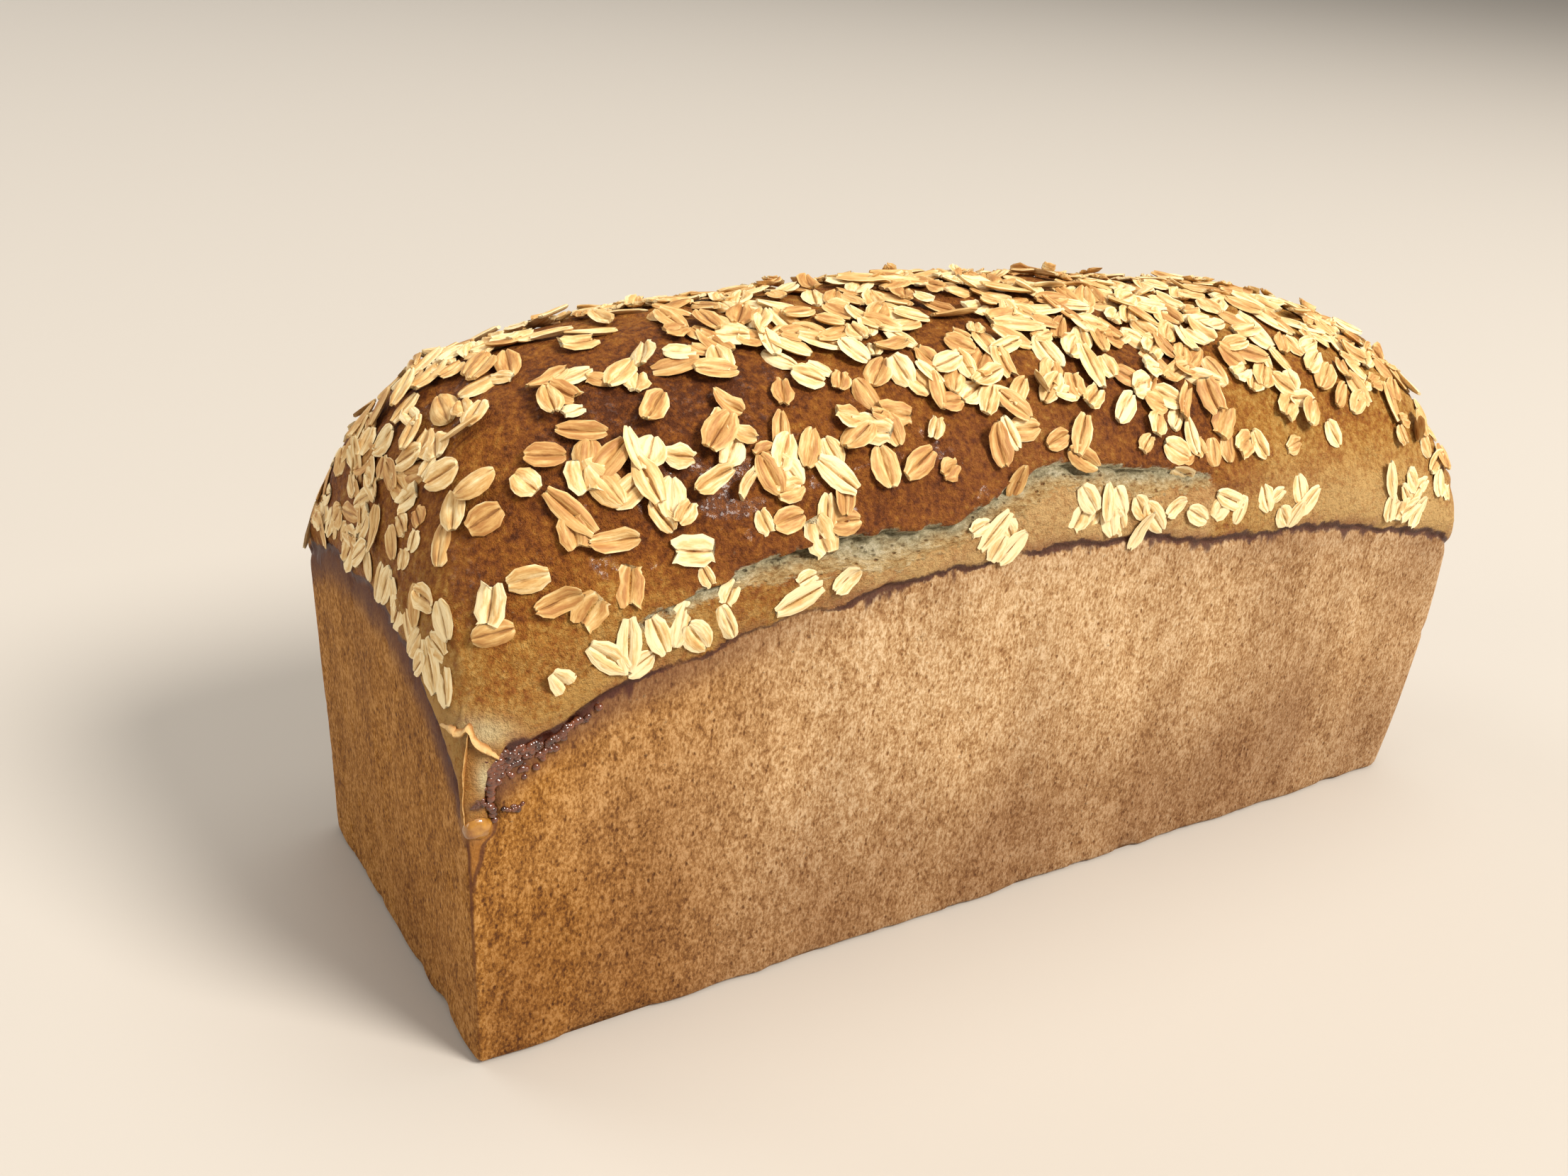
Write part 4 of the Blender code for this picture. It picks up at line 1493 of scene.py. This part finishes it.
for index in range(BEADS_IN_RUN):
    at = syrup_rng.triangular(0, len(SYRUP_RUN) - 1, 5.5)
    run_x, run_z, spread = [np.interp(at, range(len(SYRUP_RUN)), row) for row in SYRUP_RUN.T]
    spot_x = run_x + syrup_rng.gauss(0, 0.5) * spread * MM
    spot_z = run_z - abs(syrup_rng.gauss(0, 0.9)) * spread * MM
    size = syrup_rng.uniform(0.40, 1.05) * MM
    lay_bead(front_wall(spot_x, spot_z, -0.0001), size, index)
for middle_x, middle_z, wide, tall, count in SYRUP_PATCHES:
    for index in range(count):
        spot_x = middle_x + syrup_rng.gauss(0, wide / 2) * MM
        spot_z = middle_z + syrup_rng.gauss(0, tall / 2) * MM
        size = syrup_rng.uniform(0.30, 0.65) * MM
        lay_bead(front_wall(spot_x, spot_z, 0.0001), size, BEADS_IN_RUN + index)
syrup_mesh = mesh_from(syrup_bmesh, "burnt_syrup")
print("burnt syrup has", len(syrup_mesh.polygons), "faces")

# %% [markdown]
# The drop is one larger, smoother bead at the foot of the crevice. It is a piece of its own, because it is
# clear amber and the others are nearly black.

# %% The drop, and both into the scene
drop_bmesh = bmesh.new()
add_bead(drop_bmesh, front_wall(-0.1455, 0.0607, -0.0004), (0.0031, 0.0019, 0.0026), 5, smooth=3)
drop_mesh = mesh_from(drop_bmesh, "amber_drop")
beads_and_drop = []
for mesh in (syrup_mesh, drop_mesh):
    mesh.transform(Matrix.Translation(-OFF_CENTRE))
    mesh.shade_smooth()
    beads_and_drop.append(add_to_scene(mesh.name, mesh))
print("added", [made.name for made in beads_and_drop])

# %% [markdown]
# Burnt syrup is nearly black with red where it is thin, and the drop is a light amber. Both are glossy all
# over, as set sugar is, so they share one recipe with different colours.

# %% Dark red and clear amber
for mesh, name, dark, light in (
    (syrup_mesh, "burnt syrup", (0.028, 0.006, 0.003), (0.190, 0.052, 0.018)),
    (drop_mesh, "amber syrup", (0.240, 0.085, 0.008), (0.470, 0.220, 0.030)),
):
    finish, tree, shader = new_finish(name)
    syrup_grain, syrup_patch, _ = grain(tree, object_place(tree), 0.0012, 0.0030, 0.0016)
    syrup_colour = shades(tree, syrup_patch, [(0.35, dark), (0.65, light)])
    fill(tree, shader, {"Base Color": syrup_colour, "Roughness": 0.25})
    fill(tree, shader, {"Coat Weight": 0.9, "Coat Roughness": 0.05})
    add_relief(tree, shader, times(tree, syrup_grain, 0.05))
    mesh.materials.append(finish)
print("syrup finished")

# %% [markdown]
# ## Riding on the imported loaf
#
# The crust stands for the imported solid, which stays for collisions. Everything rides on the same body.

# %% Tell the frame what rides on what
pieces = (crust, oats, lip, *beads_and_drop)
for piece in pieces:
    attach(piece, "root")
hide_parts("loaf")
print("pieces:", [piece.name for piece in pieces])

# %% [markdown]
# ## Floor, light and camera
#
# A plain pale floor, as in a small studio. It is wide enough to fill the picture up to its top.

# %% The floor
floor_mesh = bpy.data.meshes.new("floor")
FLOOR_REACH = 9.0
CORNER_SIGNS = ((-1, -1), (1, -1), (1, 1), (-1, 1))
floor_corners = [(sign_x * FLOOR_REACH, sign_y * FLOOR_REACH, 0) for sign_x, sign_y in CORNER_SIGNS]
floor_mesh.from_pydata(floor_corners, [], [(0, 1, 2, 3)])
floor = add_to_scene("floor", floor_mesh)
floor_finish, tree, shader = new_finish("pale floor")
fill(tree, shader, {"Base Color": (0.50, 0.46, 0.41, 1), "Roughness": 0.9})
floor_mesh.materials.append(floor_finish)
floor.location.z = -0.0002  # just under the loaf, so that the two never share a plane
print("floor laid")

# %% [markdown]
# The key light comes from the right, in front and above. A broad, slightly cool light behind on the left,
# like a window, gives the crown its sheen. A soft one overhead and a weak, warm one on the left fill the
# shadows.

# %% The lights
MIDDLE = Vector((0, 0, 0.07))  # the middle of the loaf, where every light points


def soft_light(name, spot, size, power, colour):
    lamp = bpy.data.lights.new(name, "AREA")
    lamp.shape = "DISK"
    lamp.size = size
    lamp.energy = power
    lamp.color = colour
    made = add_to_scene(name, lamp)
    made.location = spot
    made.rotation_euler = (MIDDLE - Vector(spot)).to_track_quat("-Z", "Y").to_euler()


soft_light("key", (1.25, -2.50, 2.75), 1.4, 205.0, (1.0, 0.95, 0.88))
soft_light("window", (-2.25, 3.45, 2.55), 2.7, 55.0, (0.94, 0.97, 1.0))
soft_light("overhead", (0.6, 0.3, 3.9), 3.0, 66.0, (1.0, 0.97, 0.92))
soft_light("near fill", (-2.75, 0.25, 1.15), 1.8, 18.0, (1.0, 0.88, 0.72))
world = bpy.data.worlds.new("studio")
bpy.context.scene.world = world
world.use_nodes = True
backdrop = world.node_tree.nodes["Background"]
fill(world.node_tree, backdrop, {"Color": (1.0, 0.95, 0.88, 1), "Strength": 0.38})
bpy.context.scene.view_settings.view_transform = "Standard"
print("lights set")

# %% [markdown]
# The camera stands close, a little above the near corner, and leans slightly. A moderately wide lens from
# there makes the near corner large and lets the loaf run away to the right.

# %% The camera
CAMERA_SPOT = (-0.2367, -0.2824, 0.2324)
CAMERA_HEADING, CAMERA_DIP, CAMERA_ROLL = -33.89, 25.34, 5.26  # degrees
lens = bpy.data.cameras.new("camera")
lens.sensor_width = 36
lens.lens = 35.2
lens.clip_start = 0.01
camera = add_to_scene("camera", lens)
camera.matrix_world = (
    Matrix.Translation(CAMERA_SPOT)
    @ Matrix.Rotation(math.radians(CAMERA_HEADING), 4, "Z")
    @ Matrix.Rotation(math.radians(90 - CAMERA_DIP), 4, "X")
    @ Matrix.Rotation(math.radians(CAMERA_ROLL), 4, "Z")
)
bpy.context.scene.camera = camera
print("camera at", CAMERA_SPOT)
